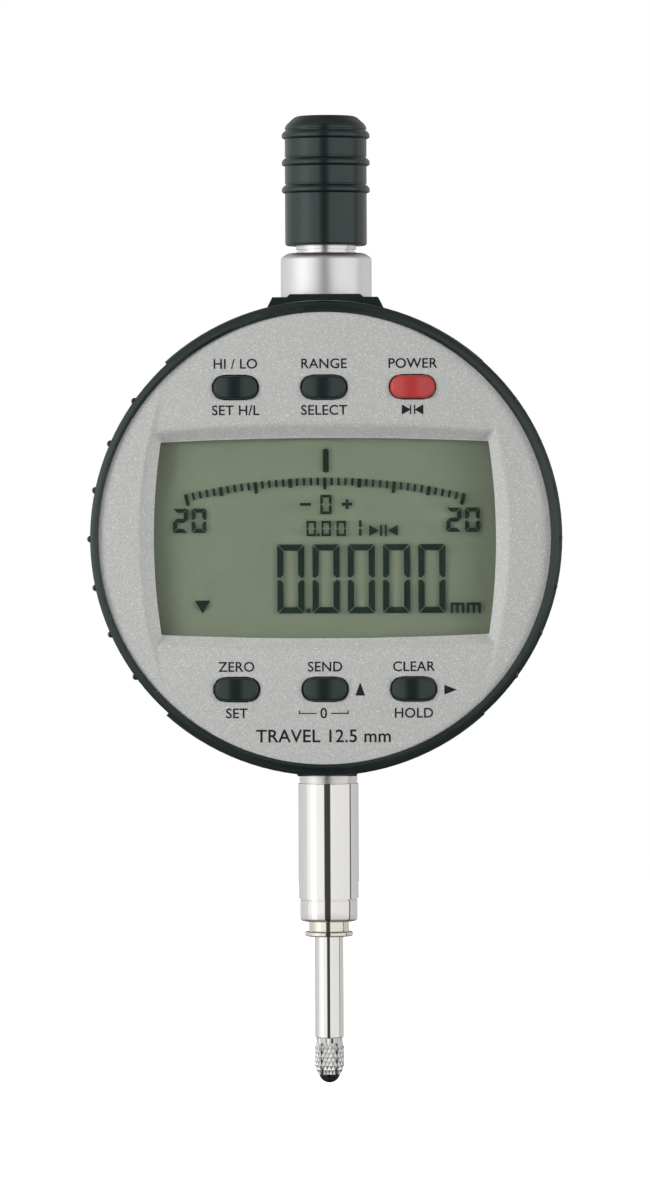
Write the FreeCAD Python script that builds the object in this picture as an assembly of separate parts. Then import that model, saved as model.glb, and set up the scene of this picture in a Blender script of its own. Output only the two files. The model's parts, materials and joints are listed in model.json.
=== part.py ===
import FreeCAD, Part
import math
import os

# A digital indicator with a turning display, a 12.5 mm plunger and an 8 mm clamping stem.
# The pieces are drawn about the centre of the round body: Z up along the plunger, the display to -Y.
# They are saved with the origin on the plunger's axis, at the middle of the stem's clamping length.
# Lengths are in millimetres and angles in degrees.

# Clearances
hair = 0.02            # between pieces that are pressed, screwed or glued together
running = 0.03         # radial, between a shaft and its bush
gap = 0.3              # between pieces that pass each other

# The round body
housing_radius = 31.3
housing_wall = 1.8
housing_depth = 15.5
front_wall = 1.5
axis_to_front = 7.2    # from the plunger's axis to the housing's front face
edge_break = 0.4
cover_thickness = 2.0
cover_round = 1.4

# The shoulder on top of the body, its lip, and the pad at the bottom
shoulder_rise = 0.6    # above the round housing
shoulder_half_width = 7.0
shoulder_spread = 0.8
shoulder_half_depth = 7.2
lip_rise = 0.4
lip_half_width = 4.65
lip_spread = 0.45
lip_depth = 0.8
pad_rise = 0.3         # below the round housing
pad_half_width = 3.9
pad_spread = 0.1

# The turning display unit
turn_gap = 0.4
turn_limit = 140.0
ring_depth = 9.0
ring_inset = 0.05      # the ring's rib tips inside the housing's outline
ring_wall = 2.35
crest_step = 1.15
crest_round = 1.5
rib_count = 7
rib_pitch = 12.0
rib_radius = 0.45
crest_width = 0.4
face_thickness = 1.8
face_inset = 0.6
face_ledge = 1.2
back_plate = 1.8
hub_radius = 11.0
hub_wall = 2.0
hub_step = 0.5
keeper_thickness = 0.8
keeper_width = 2.4
washer_thickness = 0.3

# The window and the hollow that it lies in
frame_corner_gap = 0.35  # from the panel frame's corners to the ring's bore
window_side_bow = 0.95
window_end_bow = 0.525
window_bevel = 1.9
hollow_margin = 1.8    # from the window's side to the hollow's
hollow_side_radius = 62.4
hollow_reach = 0.67    # beyond the middle of a row of buttons
hollow_depth = 0.8
hollow_slope = 1.0
lens_lap = 1.3
lens_thickness = 0.8

# The liquid-crystal panel and the board
panel_lap = 0.8        # behind the window's edges
panel_thickness = 1.8
reflector_thickness = 0.2
frame_wall = 1.0
board_thickness = 1.0
board_lift = 0.6
strip_width = 1.6
plug_radius = 2.0
plug_depth = 0.8

# Buttons and their mats
button_width = 5.95
button_height = 3.05
button_column = 11.63
top_band = 9.87        # from the middle of a row to the face's edge
row_to_window = 6.655
button_proud = 0.75
button_crown = 0.55    # of the middle over the ends
button_gap = 0.17
button_flange = 0.6
flange_thickness = 0.7
button_travel = 0.5
mat_thickness = 0.6
mat_margin = 0.9

# Stem
stem_radius = 4.0
stem_neck = 1.2        # from the bottom pad to the clamping length
clamp_length = 14.7
stem_tail = 3.75
stem_relief = 0.16
groove_width = 0.25
groove_depth = 0.2
stem_round = 0.5
shank_radius = 3.5
shank_depth = 6.5
bush_radius = 2.675
bush_length = 9.0
boss_wall = 1.8

# Wiper bush in the stem's end
wiper_proud = 2.0      # below the stem's end
wiper_flange = 0.65
wiper_flange_radius = 3.22
wiper_shank = 1.6

# Plunger and contact point
travel = 12.5
rod_radius = 1.925
rod_spare = 1.05       # of rod that still shows at full travel
thread_radius = 1.2
thread_length = 5.0
point_neck_radius = 1.75
point_neck = 0.7
barrel_radius = 1.97
barrel_length = 3.95
barrel_chamfer = 0.2
barrel_taper = 0.9     # its length, above the ball
tip_radius = 1.53
ball_radius = 1.45
ball_proud = 1.4       # below the contact point's tip

# Top collar, guide tube and lifting cap
collar_radius = 6.05
collar_height = 6.0
collar_chamfer = 0.7   # along the axis
collar_slope = 1.15    # the chamfer's width
tube_radius = 4.0
tube_bore = 2.9
tube_sink = 5.5
cap_rise = 1.0         # cap's lower edge above the collar at rest
cap_length = 17.4
cap_radius = 5.45
cap_chamfer = 1.45
cap_lower_round = 0.4
cap_wall_top = 3.3
grip_ring_count = 3
grip_ring_pitch = 3.62
grip_ring_first = 2.7  # from the cap's top down to the middle of the first ring
grip_ring_rise = 0.42
grip_ring_half = 0.47
insert_radius = 3.2
insert_length = 2.4
rod_top_radius = 1.6

# Scale carrier, scale and guides
carrier_width = 9.0
carrier_height = 8.0
carrier_front = 2.9
carrier_back = 3.4
clamp_screw_radius = 0.8
clamp_screw_head = 0.8
scale_width = 6.0
scale_length = 21.0
scale_thickness = 1.0
scale_drop = 8.0
pin_radius = 0.8
pin_length = 5.6
rail_wall = 1.4
rail_foot = 4.0
rail_foot_pitch = 9.0
rail_stand_off = 2.5   # from the carrier's side
spring_wire = 0.4
spring_radius = 2.75
spring_turns = 7

# Sensor board, data socket and signal flex
sensor_width = 8.0
sensor_height = 10.0
sensor_thickness = 0.9
board_inset = 3.5      # from the housing's inner wall
chip_width = 7.0
chip_offset = 15.0
chip_thickness = 1.0
sensor_board_half_height = 12.0
post_radius = 1.7
post_clear = 1.6       # from the hub's keeper to the inner posts
post_inset = 7.5       # from the housing's inner wall to the outer posts
post_height = 9.4
socket_half_length = 5.0
socket_half_depth = 2.4
socket_middle = 0.5
socket_reach = 4.0
flex_width = 4.0
flex_thickness = 0.3
flex_inset = 1.0       # from the hub's bore

# Battery
cell_radius = 10.0
cell_thickness = 3.2
cup_inset = 0.65       # from the battery cup's flange to the housing's inner wall
cup_wall = 0.9
cup_floor = 0.8
cup_depth = 4.7
cup_flange = 0.9
door_radius = 11.4
door_lug = 0.8
door_lug_thickness = 0.65
door_lug_angle = 60.0
door_turn = 90.0
coin_slot_length = 12.0
coin_slot_width = 1.8
coin_slot_depth = 0.9
contact_thickness = 0.25

# Screws, pins and seals
cover_screw_inset = 2.9
cover_screw_radius = 1.0
cover_screw_head = 1.9
cover_screw_length = 7.0
cover_boss_radius = 2.25
small_screw_radius = 0.8
small_screw_head = 1.4
small_screw_head_height = 0.7
small_screw_length = 3.5
post_inset_from_ledge = 0.2
display_screw_length = 5.0
display_post_radius = 2.1
stop_pin_radius = 1.0
stop_pin_inset = 3.0   # from the turning seal
stop_pin_reach = 0.8
seal_width = 0.9
seal_inset = 0.9
seal_sink = 0.75
turn_seal_inset = 1.35 # from the display's screw heads

# Places along Y
housing_front = -axis_to_front
housing_back = housing_front + housing_depth
inner_front = housing_front + front_wall
cover_back = housing_back + cover_thickness
ring_back = housing_front - turn_gap
ring_front = ring_back - ring_depth
face_front = ring_front + face_inset
face_back = face_front + face_thickness
plate_front = ring_back - back_plate
board_back = plate_front - board_lift
board_front = board_back - board_thickness
lens_back = face_back + lens_thickness
panel_front = lens_back + hair
panel_back = panel_front + panel_thickness
reflector_back = panel_back + reflector_thickness
button_back = face_back + hair + flange_thickness
keeper_front = inner_front + washer_thickness + 2 * hair
hub_end = keeper_front + keeper_thickness + hub_step
carrier_scale = carrier_back + scale_thickness
sensor_front = carrier_scale + gap
sensor_board_front = sensor_front + sensor_thickness
sensor_board_back = sensor_board_front + board_thickness
cup_front = housing_back - cup_depth
door_bottom = housing_back + hair

# Radii and outlines that follow from the sizes above
cavity_radius = housing_radius - housing_wall
ring_radius = housing_radius - ring_inset
ring_bore = ring_radius - ring_wall
crest_radius = ring_radius - crest_step
face_radius = crest_radius - crest_width
ledge_radius = face_radius - face_ledge
hub_bore = hub_radius - hub_wall
flex_offset = hub_bore - flex_inset
keeper_radius = hub_radius - hub_step + keeper_width
button_row = face_radius - top_band
window_half_height = button_row - row_to_window
frame_half_height = window_half_height + panel_lap + frame_wall
frame_half_width = math.sqrt((ring_bore - frame_corner_gap) ** 2 - frame_half_height ** 2)
window_half_width = frame_half_width - frame_wall - panel_lap
hollow_half_width = window_half_width + hollow_margin
hollow_half_height = button_row + hollow_reach
panel_half_width = window_half_width + panel_lap
panel_half_height = window_half_height + panel_lap
display_screw_circle = ledge_radius - display_post_radius - post_inset_from_ledge
turn_seal_circle = display_screw_circle - small_screw_head - seal_width / 2 - turn_seal_inset
stop_pin_circle = turn_seal_circle - stop_pin_inset
seal_circle = housing_radius - seal_inset
cover_screw_circle = cavity_radius - cover_screw_inset
post_inner = keeper_radius + post_clear
post_outer = cavity_radius - post_inset
sensor_board_left = cavity_radius - board_inset
cup_radius = cell_radius + gap + cup_wall
lug_radius = door_radius + door_lug
cup_flange_radius = lug_radius + gap / 2 + cup_flange
cell_offset = cavity_radius - cup_flange_radius - cup_inset

# Places along Z. Those of the stem and the plunger's lower end are counted down from the body's centre
shoulder_height = housing_radius + shoulder_rise
pad_height = housing_radius + pad_rise
collar_top = shoulder_height + collar_height
cap_bottom = collar_top + cap_rise
cap_top = cap_bottom + cap_length
cap_roof = cap_top - cap_wall_top
tube_top = cap_roof - gap
tube_bottom = shoulder_height - tube_sink
shank_top = shank_depth - pad_height
clamp_top = pad_height + stem_neck
clamp_bottom = clamp_top + clamp_length
stem_end = clamp_bottom + stem_tail
wiper_end = stem_end + wiper_proud
rod_end = wiper_end + travel + rod_spare
ball_end = rod_end + point_neck + barrel_length + ball_proud
ball_centre = ball_radius - ball_end
origin_height = (clamp_top + clamp_bottom) / 2


def vector(x, y, z):
    return FreeCAD.Vector(x, y, z)


def outward(shape):
    """The same solid, with its faces pointing outwards."""
    if shape.Volume < 0:
        shape.reverse()
    return shape


def outline(steps, place):
    """A closed wire. A step is a point, or two points: an arc through the first to the second."""
    here = place(*steps[0])
    edges = []
    for step in steps[1:] + steps[:1]:
        bent = isinstance(step[0], tuple)
        end = place(*step[1]) if bent else place(*step)
        if bent:
            edges.append(Part.Arc(here, place(*step[0]), end).toShape())
        elif here.distanceToPoint(end) > hair / 10:
            edges.append(Part.LineSegment(here, end).toShape())
        here = end
    return Part.Wire(edges)


def turned_on_z(steps):
    """A solid turned about the plunger's axis, from steps of radius and height."""
    face = Part.Face(outline(steps, lambda radius, z: vector(radius, 0, z)))
    return outward(face.revolve(vector(0, 0, 0), vector(0, 0, 1), 360))


def turned_on_y(steps, x=0, angle=360, start=0):
    """A solid turned about an axis along Y, from steps of radius and depth.

    A part turn starts on the +X side, turned by start towards -Z."""
    face = Part.Face(outline(steps, lambda radius, y: vector(x + radius, y, 0)))
    solid = outward(face.revolve(vector(x, 0, 0), vector(0, 1, 0), angle))
    solid.rotate(vector(x, 0, 0), vector(0, 1, 0), start)
    return solid


def ring_on_y(inner, outer, front, back, x=0, angle=360, start=0):
    """A flat ring, or a piece of one, about an axis along Y."""
    return turned_on_y([(inner, front), (outer, front), (outer, back), (inner, back)], x, angle, start)


def rod_on_y(radius, front, back, x=0, z=0):
    return Part.makeCylinder(radius, back - front, vector(x, front, z), vector(0, 1, 0))


def rod_on_z(radius, low, high):
    return Part.makeCylinder(radius, high - low, vector(0, 0, low), vector(0, 0, 1))


def plate(steps, front, back):
    """A plate that faces -Y, from steps of x and z."""
    face = Part.Face(outline(steps, lambda x, z: vector(x, front, z)))
    return outward(face.extrude(vector(0, back - front, 0)))


def tapered_plate(front_steps, front, back_steps, back):
    """A plate whose outline changes from its front to its back."""
    wires = []
    for steps, depth in ((front_steps, front), (back_steps, back)):
        wires.append(outline(steps, lambda x, z: vector(x, depth, z)))
    return outward(Part.makeLoft(wires, True, True))


def block(x, y, z):
    """A block between pairs of limits."""
    size = [high - low for low, high in (x, y, z)]
    return Part.makeBox(*size, vector(x[0], y[0], z[0]))


def rectangle(half_width, half_height, x=0, z=0):
    corners = ((-1, -1), (1, -1), (1, 1), (-1, 1))
    return [(x + side * half_width, z + end * half_height) for side, end in corners]


def obround(width, height, x=0, z=0):
    """A slot's outline with round ends."""
    round_radius = height / 2
    run = width / 2 - round_radius
    low, high = z - round_radius, z + round_radius
    return [
        (x - run, low),
        (x + run, low),
        ((x + run + round_radius, z), (x + run, high)),
        (x - run, high),
        ((x - run - round_radius, z), (x - run, low)),
    ]


def turned_copy(shape, angle):
    """A copy turned about the display's axis."""
    copy = shape.copy()
    copy.rotate(vector(0, 0, 0), vector(0, 1, 0), angle)
    return copy


def joined(first, others):
    return first.fuse(others).removeSplitter()


def screw_on_y(x, z, head_face, inward, length, head_radius, head_height, radius):
    """A flat-headed screw. Its head's face lies at head_face, and it points along inward (1 or -1)."""
    direction = vector(0, inward, 0)
    head = Part.makeCone(head_radius, radius, head_height, vector(x, head_face, z), direction)
    shank = Part.makeCylinder(radius, length, vector(x, head_face, z), direction)
    return head.fuse(shank).removeSplitter()


def around(circle, count, first):
    """Places (x, z) that share a circle evenly."""
    places = []
    for index in range(count):
        angle = math.radians(first + index * 360 / count)
        places.append((circle * math.cos(angle), circle * math.sin(angle)))
    return places


cover_screw_places = around(cover_screw_circle, 4, 45)
display_screw_places = around(display_screw_circle, 4, 45)
board_screw_places = [(-x, z) for x in (post_inner, post_outer) for z in (-post_height, post_height)]
button_places = {
    "button_top_left": (-button_column, button_row),
    "button_top_middle": (0, button_row),
    "button_power": (button_column, button_row),
    "button_bottom_left": (-button_column, -button_row),
    "button_bottom_middle": (0, -button_row),
    "button_bottom_right": (button_column, -button_row),
}


# The housing

def sloped_pad(half_width, spread, height, base_radius):
    """Outline of a flat-topped pad whose sloped sides meet a circle about the body's centre."""
    foot = half_width + spread
    base = math.sqrt(base_radius ** 2 - foot ** 2)
    side = math.copysign(1, height)
    return [(-foot, side * base), (-half_width, height), (half_width, height), (foot, side * base)]


def data_port(clearance, reach):
    """The block that the data port takes out of the housing's side."""
    depth = socket_half_depth + clearance
    length = socket_half_length + clearance
    side = (-housing_radius - 1, -cavity_radius + reach)
    return block(side, (socket_middle - depth, socket_middle + depth), (-length, length))


def rear_housing():
    case = turned_on_y([
        (0, housing_front),
        (housing_radius - edge_break, housing_front),
        (housing_radius, housing_front + edge_break),
        (housing_radius, housing_back),
        (0, housing_back),
    ])
    shoulder = plate(
        sloped_pad(shoulder_half_width, shoulder_spread, shoulder_height, housing_radius),
        housing_front, shoulder_half_depth)
    lip_foot = lip_half_width + lip_spread
    lip_outline = [
        (-lip_foot, shoulder_height),
        (-lip_half_width, shoulder_height + lip_rise),
        (lip_half_width, shoulder_height + lip_rise),
        (lip_foot, shoulder_height),
    ]
    lip = plate(lip_outline, housing_front, housing_front + lip_depth)
    pad = plate(
        sloped_pad(pad_half_width, pad_spread, -pad_height, housing_radius),
        housing_front, shoulder_half_depth)
    case = case.fuse([shoulder, lip, pad])
    case = case.cut(rod_on_y(cavity_radius, inner_front, housing_back))
    inner = [rod_on_y(cover_boss_radius, inner_front, housing_back, x, z) for x, z in cover_screw_places]
    inner += [rod_on_y(post_radius, inner_front, sensor_board_front, x, z) for x, z in board_screw_places]
    inner.append(rod_on_z(tube_radius + boss_wall, tube_bottom, shoulder_height - hair))
    inner.append(rod_on_z(shank_radius + boss_wall, -cavity_radius, shank_top))
    case = joined(case, inner)
    hollows = [
        rod_on_y(hub_radius + running, housing_front, inner_front),
        rod_on_z(tube_radius + hair, tube_bottom, shoulder_height),
        rod_on_z(shank_radius + hair, -pad_height, shank_top),
        rod_on_y(stop_pin_radius + hair, housing_front, inner_front, 0, -stop_pin_circle),
        ring_on_y(turn_seal_circle - seal_width / 2, turn_seal_circle + seal_width / 2,
                  housing_front, housing_front + seal_sink),
        data_port(gap / 2, 1),
    ]
    hollows += [screw.copy() for screw in cover_screw_shapes(hair)]
    hollows += [screw.copy() for screw in board_screw_shapes(hair)]
    hollows += [screw.copy() for screw in rail_screw_shapes(hair)]
    return case.cut(hollows)


def cover_screw_shapes(clearance):
    return [
        screw_on_y(x, z, cover_back - hair, -1, cover_screw_length + clearance,
                   cover_screw_head + clearance, cover_screw_head / 2, cover_screw_radius + clearance)
        for x, z in cover_screw_places
    ]


def board_screw_shapes(clearance):
    return [
        screw_on_y(x, z, sensor_board_back + small_screw_head_height / 2, -1,
                   small_screw_length + clearance, small_screw_head + clearance,
                   small_screw_head_height, small_screw_radius + clearance)
        for x, z in board_screw_places
    ]


def rear_cover():
    corner = cover_round * (1 - math.sqrt(0.5))
    cover = turned_on_y([
        (0, housing_back),
        (housing_radius, housing_back),
        (housing_radius, cover_back - cover_round),
        ((housing_radius - corner, cover_back - corner), (housing_radius - cover_round, cover_back)),
        (0, cover_back),
    ])
    door_hole = door_radius + gap / 2
    lug_hole = door_hole + door_lug
    lug_room = housing_back + door_lug_thickness + 3 * hair
    hollows = [
        rod_on_y(door_hole, housing_back, cover_back, cell_offset),
        rod_on_y(lug_hole, housing_back, lug_room, cell_offset),
        ring_on_y(seal_circle - seal_width / 2, seal_circle + seal_width / 2,
                  housing_back, housing_back + seal_sink),
    ]
    notch = door_lug_angle + 2 * math.degrees(gap / door_radius)
    for middle in (door_turn, door_turn + 180):
        hollows.append(ring_on_y(door_hole - gap, lug_hole, housing_back, cover_back,
                                 cell_offset, notch, middle - notch / 2))
    hollows += cover_screw_shapes(hair)
    return cover.cut(hollows)


def rear_cover_seal():
    half = seal_width / 2 - hair
    return ring_on_y(seal_circle - half, seal_circle + half, housing_back, housing_back + seal_sink - hair)


def turn_seal():
    half = seal_width / 2 - hair
    return ring_on_y(turn_seal_circle - half, turn_seal_circle + half,
                     housing_front - turn_gap / 2, housing_front + seal_sink)


def stop_pin():
    return rod_on_y(stop_pin_radius, ring_back - stop_pin_reach, inner_front, 0, -stop_pin_circle)


def friction_washer():
    front = inner_front + hair
    return ring_on_y(hub_radius + gap / 3, keeper_radius, front, front + washer_thickness)


# The stem and the top of the body

def stem():
    relief = stem_radius - stem_relief
    groove_top = -clamp_bottom - 3 * groove_width
    corner = stem_round * (1 - math.sqrt(0.5))
    return turned_on_z([
        (bush_radius + hair, shank_top),
        (shank_radius, shank_top),
        (shank_radius, -pad_height),
        (relief, -pad_height),
        (relief, -clamp_top),
        (stem_radius, -clamp_top),
        (stem_radius, -clamp_bottom),
        (relief, -clamp_bottom),
        (relief, groove_top),
        (relief - groove_depth, groove_top),
        (relief - groove_depth, groove_top - groove_width),
        (relief, groove_top - groove_width),
        (relief, -stem_end + stem_round),
        ((relief - corner, -stem_end + corner), (relief - stem_round, -stem_end)),
        (bush_radius + hair, -stem_end),
    ])


def guide_bush(bottom, outer):
    bore = rod_radius + running
    return turned_on_z([
        (bore, bottom),
        (outer, bottom),
        (outer, bottom + bush_length),
        (bore, bottom + bush_length),
    ])


def wiper_bush():
    bore = rod_radius + 2 * running
    flange_top = -wiper_end + wiper_flange
    return turned_on_z([
        (bore, -stem_end + wiper_shank),
        (bush_radius, -stem_end + wiper_shank),
        (bush_radius, flange_top),
        (wiper_flange_radius, flange_top),
        (wiper_flange_radius, -wiper_end),
        (bore, -wiper_end),
    ])


def top_collar():
    return turned_on_z([
        (tube_radius + hair, shoulder_height),
        (collar_radius, shoulder_height),
        (collar_radius, collar_top - collar_chamfer),
        (collar_radius - collar_slope, collar_top),
        (tube_radius + hair, collar_top),
    ])


def guide_tube():
    neck = tube_radius - groove_depth
    return turned_on_z([
        (tube_bore, tube_bottom),
        (tube_radius, tube_bottom),
        (tube_radius, collar_top),
        (neck, collar_top),
        (neck, collar_top + groove_width),
        (tube_radius, collar_top + groove_width),
        (tube_radius, tube_top - groove_width),
        (tube_radius - groove_width, tube_top),
        (tube_bore, tube_top),
    ])


# The plunger and what moves with it

def plunger_rod():
    hole_top = -rod_end + thread_length + gap
    return turned_on_z([
        (0, hole_top),
        (thread_radius + hair, hole_top),
        (thread_radius + hair, -rod_end),
        (rod_radius - edge_break / 2, -rod_end),
        (rod_radius, -rod_end + edge_break / 2),
        (rod_radius, cap_roof),
        (rod_top_radius, cap_roof),
        (rod_top_radius, cap_roof + insert_length - hair),
        (0, cap_roof + insert_length - hair),
    ])


def contact_point():
    barrel_top = -rod_end - point_neck
    barrel_end = barrel_top - barrel_length
    body = turned_on_z([
        (0, -rod_end + thread_length),
        (thread_radius, -rod_end + thread_length),
        (thread_radius, -rod_end),
        (point_neck_radius, -rod_end),
        (point_neck_radius, barrel_top),
        (barrel_radius - barrel_chamfer, barrel_top),
        (barrel_radius, barrel_top - barrel_chamfer),
        (barrel_radius, barrel_end + barrel_taper),
        (tip_radius, barrel_end),
        (0, barrel_end),
    ])
    return body.cut(Part.makeSphere(ball_radius + hair / 2, vector(0, 0, ball_centre)))


def contact_ball():
    return Part.makeSphere(ball_radius, vector(0, 0, ball_centre))


def lifting_cap():
    bore = tube_radius + gap
    lower = cap_lower_round * (1 - math.sqrt(0.5))
    upper = cap_chamfer * (1 - math.sqrt(0.5))
    steps = [
        (0, cap_roof + insert_length),
        (insert_radius + hair, cap_roof + insert_length),
        (insert_radius + hair, cap_roof),
        (bore, cap_roof),
        (bore, cap_bottom),
        (cap_radius - cap_lower_round, cap_bottom),
        ((cap_radius - lower, cap_bottom + lower), (cap_radius, cap_bottom + cap_lower_round)),
    ]
    for index in reversed(range(grip_ring_count)):
        middle = cap_top - grip_ring_first - index * grip_ring_pitch
        steps.append((cap_radius, middle - grip_ring_half))
        steps.append(((cap_radius + grip_ring_rise, middle), (cap_radius, middle + grip_ring_half)))
    steps.append((cap_radius, cap_top - cap_chamfer))
    steps.append(((cap_radius - upper, cap_top - upper), (cap_radius - cap_chamfer, cap_top)))
    steps.append((0, cap_top))
    return turned_on_z(steps)


def cap_insert():
    return turned_on_z([
        (rod_top_radius + hair, cap_roof),
        (insert_radius, cap_roof),
        (insert_radius, cap_roof + insert_length - hair),
        (rod_top_radius + hair, cap_roof + insert_length - hair),
    ])


def carrier_screw(clearance=0):
    middle = carrier_height / 2
    shank = rod_on_y(clamp_screw_radius + clearance, -carrier_front, -rod_radius - hair, 0, middle)
    head_front = -carrier_front - clamp_screw_head
    return shank.fuse(rod_on_y(2 * clamp_screw_radius, head_front, -carrier_front, 0, middle))


def anti_rotation_pin(clearance=0):
    start = vector(carrier_width / 2 - rod_radius, 0, carrier_height / 2)
    return Part.makeCylinder(pin_radius + clearance, pin_length + rod_radius, start, vector(1, 0, 0))


def scale_carrier():
    half = carrier_width / 2
    body = block((-half, half), (-carrier_front, carrier_back), (0, carrier_height))
    upright = [edge for edge in body.Edges if abs(edge.tangentAt(edge.FirstParameter).z) > 0.5]
    body = body.makeChamfer(2 * edge_break, upright)
    return body.cut([
        rod_on_z(rod_radius + hair, 0, carrier_height),
        carrier_screw(hair),
        anti_rotation_pin(hair),
    ])


def scale_strip():
    half = scale_width / 2
    return block((-half, half), (carrier_back, carrier_scale), (-scale_drop, scale_length - scale_drop))


# What guides the plunger inside the housing

rail_inner = carrier_width / 2 + rail_stand_off
rail_outer = carrier_width / 2 + pin_length + gap + rail_wall
rail_half = pin_radius + gap + rail_wall
rail_low = carrier_height / 2 - pin_radius - rail_wall
rail_high = carrier_height / 2 + travel + pin_radius + rail_wall
foot_left = keeper_radius + 4 * gap
foot_back = rail_wall - rail_half
foot_levels = (rail_low, rail_low + rail_foot_pitch)


def guide_rail():
    channel = block((rail_inner, rail_outer), (-rail_half, rail_half), (rail_low, rail_high))
    slot_half = pin_radius + gap
    slot = block((rail_inner, rail_outer - rail_wall), (-slot_half, slot_half), (rail_low, rail_high))
    feet = []
    for level in foot_levels:
        height = (level, level + rail_foot)
        feet.append(block((rail_outer - rail_wall, foot_left + rail_foot), (-rail_half, foot_back), height))
        feet.append(block((foot_left, foot_left + rail_foot), (inner_front, foot_back), height))
    return joined(channel.cut(slot), feet).cut(rail_screw_shapes(hair))


def rail_screw_shapes(clearance):
    length = foot_back - inner_front + front_wall * 0.7
    return [
        screw_on_y(foot_left + rail_foot / 2, level + rail_foot / 2, foot_back, -1, length + clearance,
                   small_screw_head + clearance, small_screw_head_height, small_screw_radius + clearance)
        for level in foot_levels
    ]


def return_spring():
    """A coil made of half turns. Each is bent about an axis that leans over, so it climbs half a pitch."""
    bottom = carrier_height + spring_wire / 2 + hair
    height = tube_bottom - spring_wire / 2 - hair - bottom
    climb = height / (2 * spring_turns)
    halves = []
    for index in range(2 * spring_turns):
        side = 1 - 2 * (index % 2)
        level = bottom + index * climb
        circle = Part.makeCircle(spring_wire / 2, vector(side * spring_radius, 0, level), vector(0, 1, 0))
        lean = vector(side * climb, 0, 2 * spring_radius)
        half = Part.Face(Part.Wire(circle)).revolve(vector(0, 0, level + climb / 2), lean, 180)
        halves.append(outward(half))
    return halves[0].fuse(halves[1:])


# The measuring side: board, sensor, data socket, and the flex to the display

def sensor_board():
    right = cell_offset - cup_radius - gap
    middle = (right - sensor_board_left) / 2
    half = (right + sensor_board_left) / 2
    board = plate(rectangle(half, sensor_board_half_height, middle), sensor_board_front, sensor_board_back)
    chip_half = chip_width / 2
    chip = block((-chip_offset - chip_half, chip_half - chip_offset),
                 (sensor_board_back, sensor_board_back + chip_thickness), (-chip_half, chip_half))
    return joined(board, [chip]).cut(board_screw_shapes(hair))


def sensor_head():
    half = sensor_width / 2
    return block((-half, half), (sensor_front, sensor_board_front), (0, sensor_height))


def data_socket():
    left = gap * 2 - cavity_radius
    shell = block((left, left + socket_reach),
                  (socket_middle - socket_half_depth, sensor_board_front),
                  (-socket_half_length, socket_half_length))
    wall = socket_half_depth / 3
    mouth = block((left, left + socket_reach - wall),
                  (socket_middle - socket_half_depth + wall, socket_middle + socket_half_depth - wall),
                  (wall - socket_half_length, socket_half_length - wall))
    return shell.cut(mouth)


def data_port_plug():
    rim = ring_on_y(cavity_radius, housing_radius - hair, socket_middle - socket_half_depth,
                    socket_middle + socket_half_depth)
    return rim.common(data_port(0, 1))


def signal_flex():
    left = -flex_offset - flex_thickness / 2
    front = board_back + gap
    bend = 4 * flex_thickness
    inner_bend = bend - flex_thickness
    corner = bend * (1 - math.sqrt(0.5))
    inner_corner = flex_thickness + inner_bend * (1 - math.sqrt(0.5))
    steps = [
        (left, sensor_board_front),
        (left, front + bend),
        ((left + corner, front + corner), (left + bend, front)),
        (-plug_radius - gap, front),
        (-plug_radius - gap, front + flex_thickness),
        (left + bend, front + flex_thickness),
        ((left + inner_corner, front + inner_corner), (left + flex_thickness, front + bend)),
        (left + flex_thickness, sensor_board_front),
    ]
    face = Part.Face(outline(steps, lambda x, y: vector(x, y, -flex_width / 2)))
    return outward(face.extrude(vector(0, 0, flex_width)))


# The battery and its door

cup_bottom = cup_front + cup_floor
seal_seat = housing_back - 2 * contact_thickness


def battery_cup():
    inner = cup_radius - cup_wall
    counter = cup_flange_radius - cup_flange
    flange_front = seal_seat - cup_flange
    return turned_on_y([
        (0, cup_front),
        (cup_radius, cup_front),
        (cup_radius, flange_front),
        (cup_flange_radius, flange_front),
        (cup_flange_radius, housing_back),
        (counter, housing_back),
        (counter, seal_seat),
        (inner, seal_seat),
        (inner, cup_bottom),
        (0, cup_bottom),
    ], cell_offset)


def battery_cell():
    front = cup_bottom + contact_thickness + hair
    step = edge_break
    return turned_on_y([
        (0, front),
        (cell_radius - 2 * step, front),
        (cell_radius - 2 * step, front + step),
        (cell_radius, front + step),
        (cell_radius, front + cell_thickness),
        (0, front + cell_thickness),
    ], cell_offset)


def battery_contact_minus():
    return ring_on_y(cell_radius / 5, cell_radius / 2, cup_bottom, cup_bottom + contact_thickness, cell_offset)


def battery_contact_plus():
    inner = cell_radius + hair
    sweep = 40.0
    return ring_on_y(inner, inner + contact_thickness, cup_bottom, cup_bottom + cell_thickness,
                     cell_offset, sweep, 180 - sweep / 2)


def battery_cover():
    outer = cover_back - hair
    door = turned_on_y([
        (0, door_bottom),
        (door_radius, door_bottom),
        (door_radius, outer - edge_break),
        (door_radius - edge_break, outer),
        (0, outer),
    ], cell_offset)
    lugs = [
        ring_on_y(door_radius - door_lug, lug_radius, door_bottom, door_bottom + door_lug_thickness,
                  cell_offset, door_lug_angle, middle - door_lug_angle / 2)
        for middle in (0, 180)
    ]
    slot = plate(obround(coin_slot_length, coin_slot_width, cell_offset), outer - coin_slot_depth, cover_back)
    return joined(door, lugs).cut(slot)


def battery_cover_seal():
    outer = door_radius - gap
    return ring_on_y(outer - seal_width, outer, seal_seat + hair, door_bottom, cell_offset)


# The display unit

def grip_profile(front):
    """Steps of the ring's outside, from its back edge to its crest."""
    across = (ring_radius - crest_radius) * math.sqrt(0.5)
    along = crest_round * (1 - math.sqrt(0.5))
    return [
        (ring_radius - edge_break, ring_back),
        (ring_radius, ring_back - edge_break),
        (ring_radius, front + crest_round),
        ((crest_radius + across, front + along), (crest_radius, front)),
    ]


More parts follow.
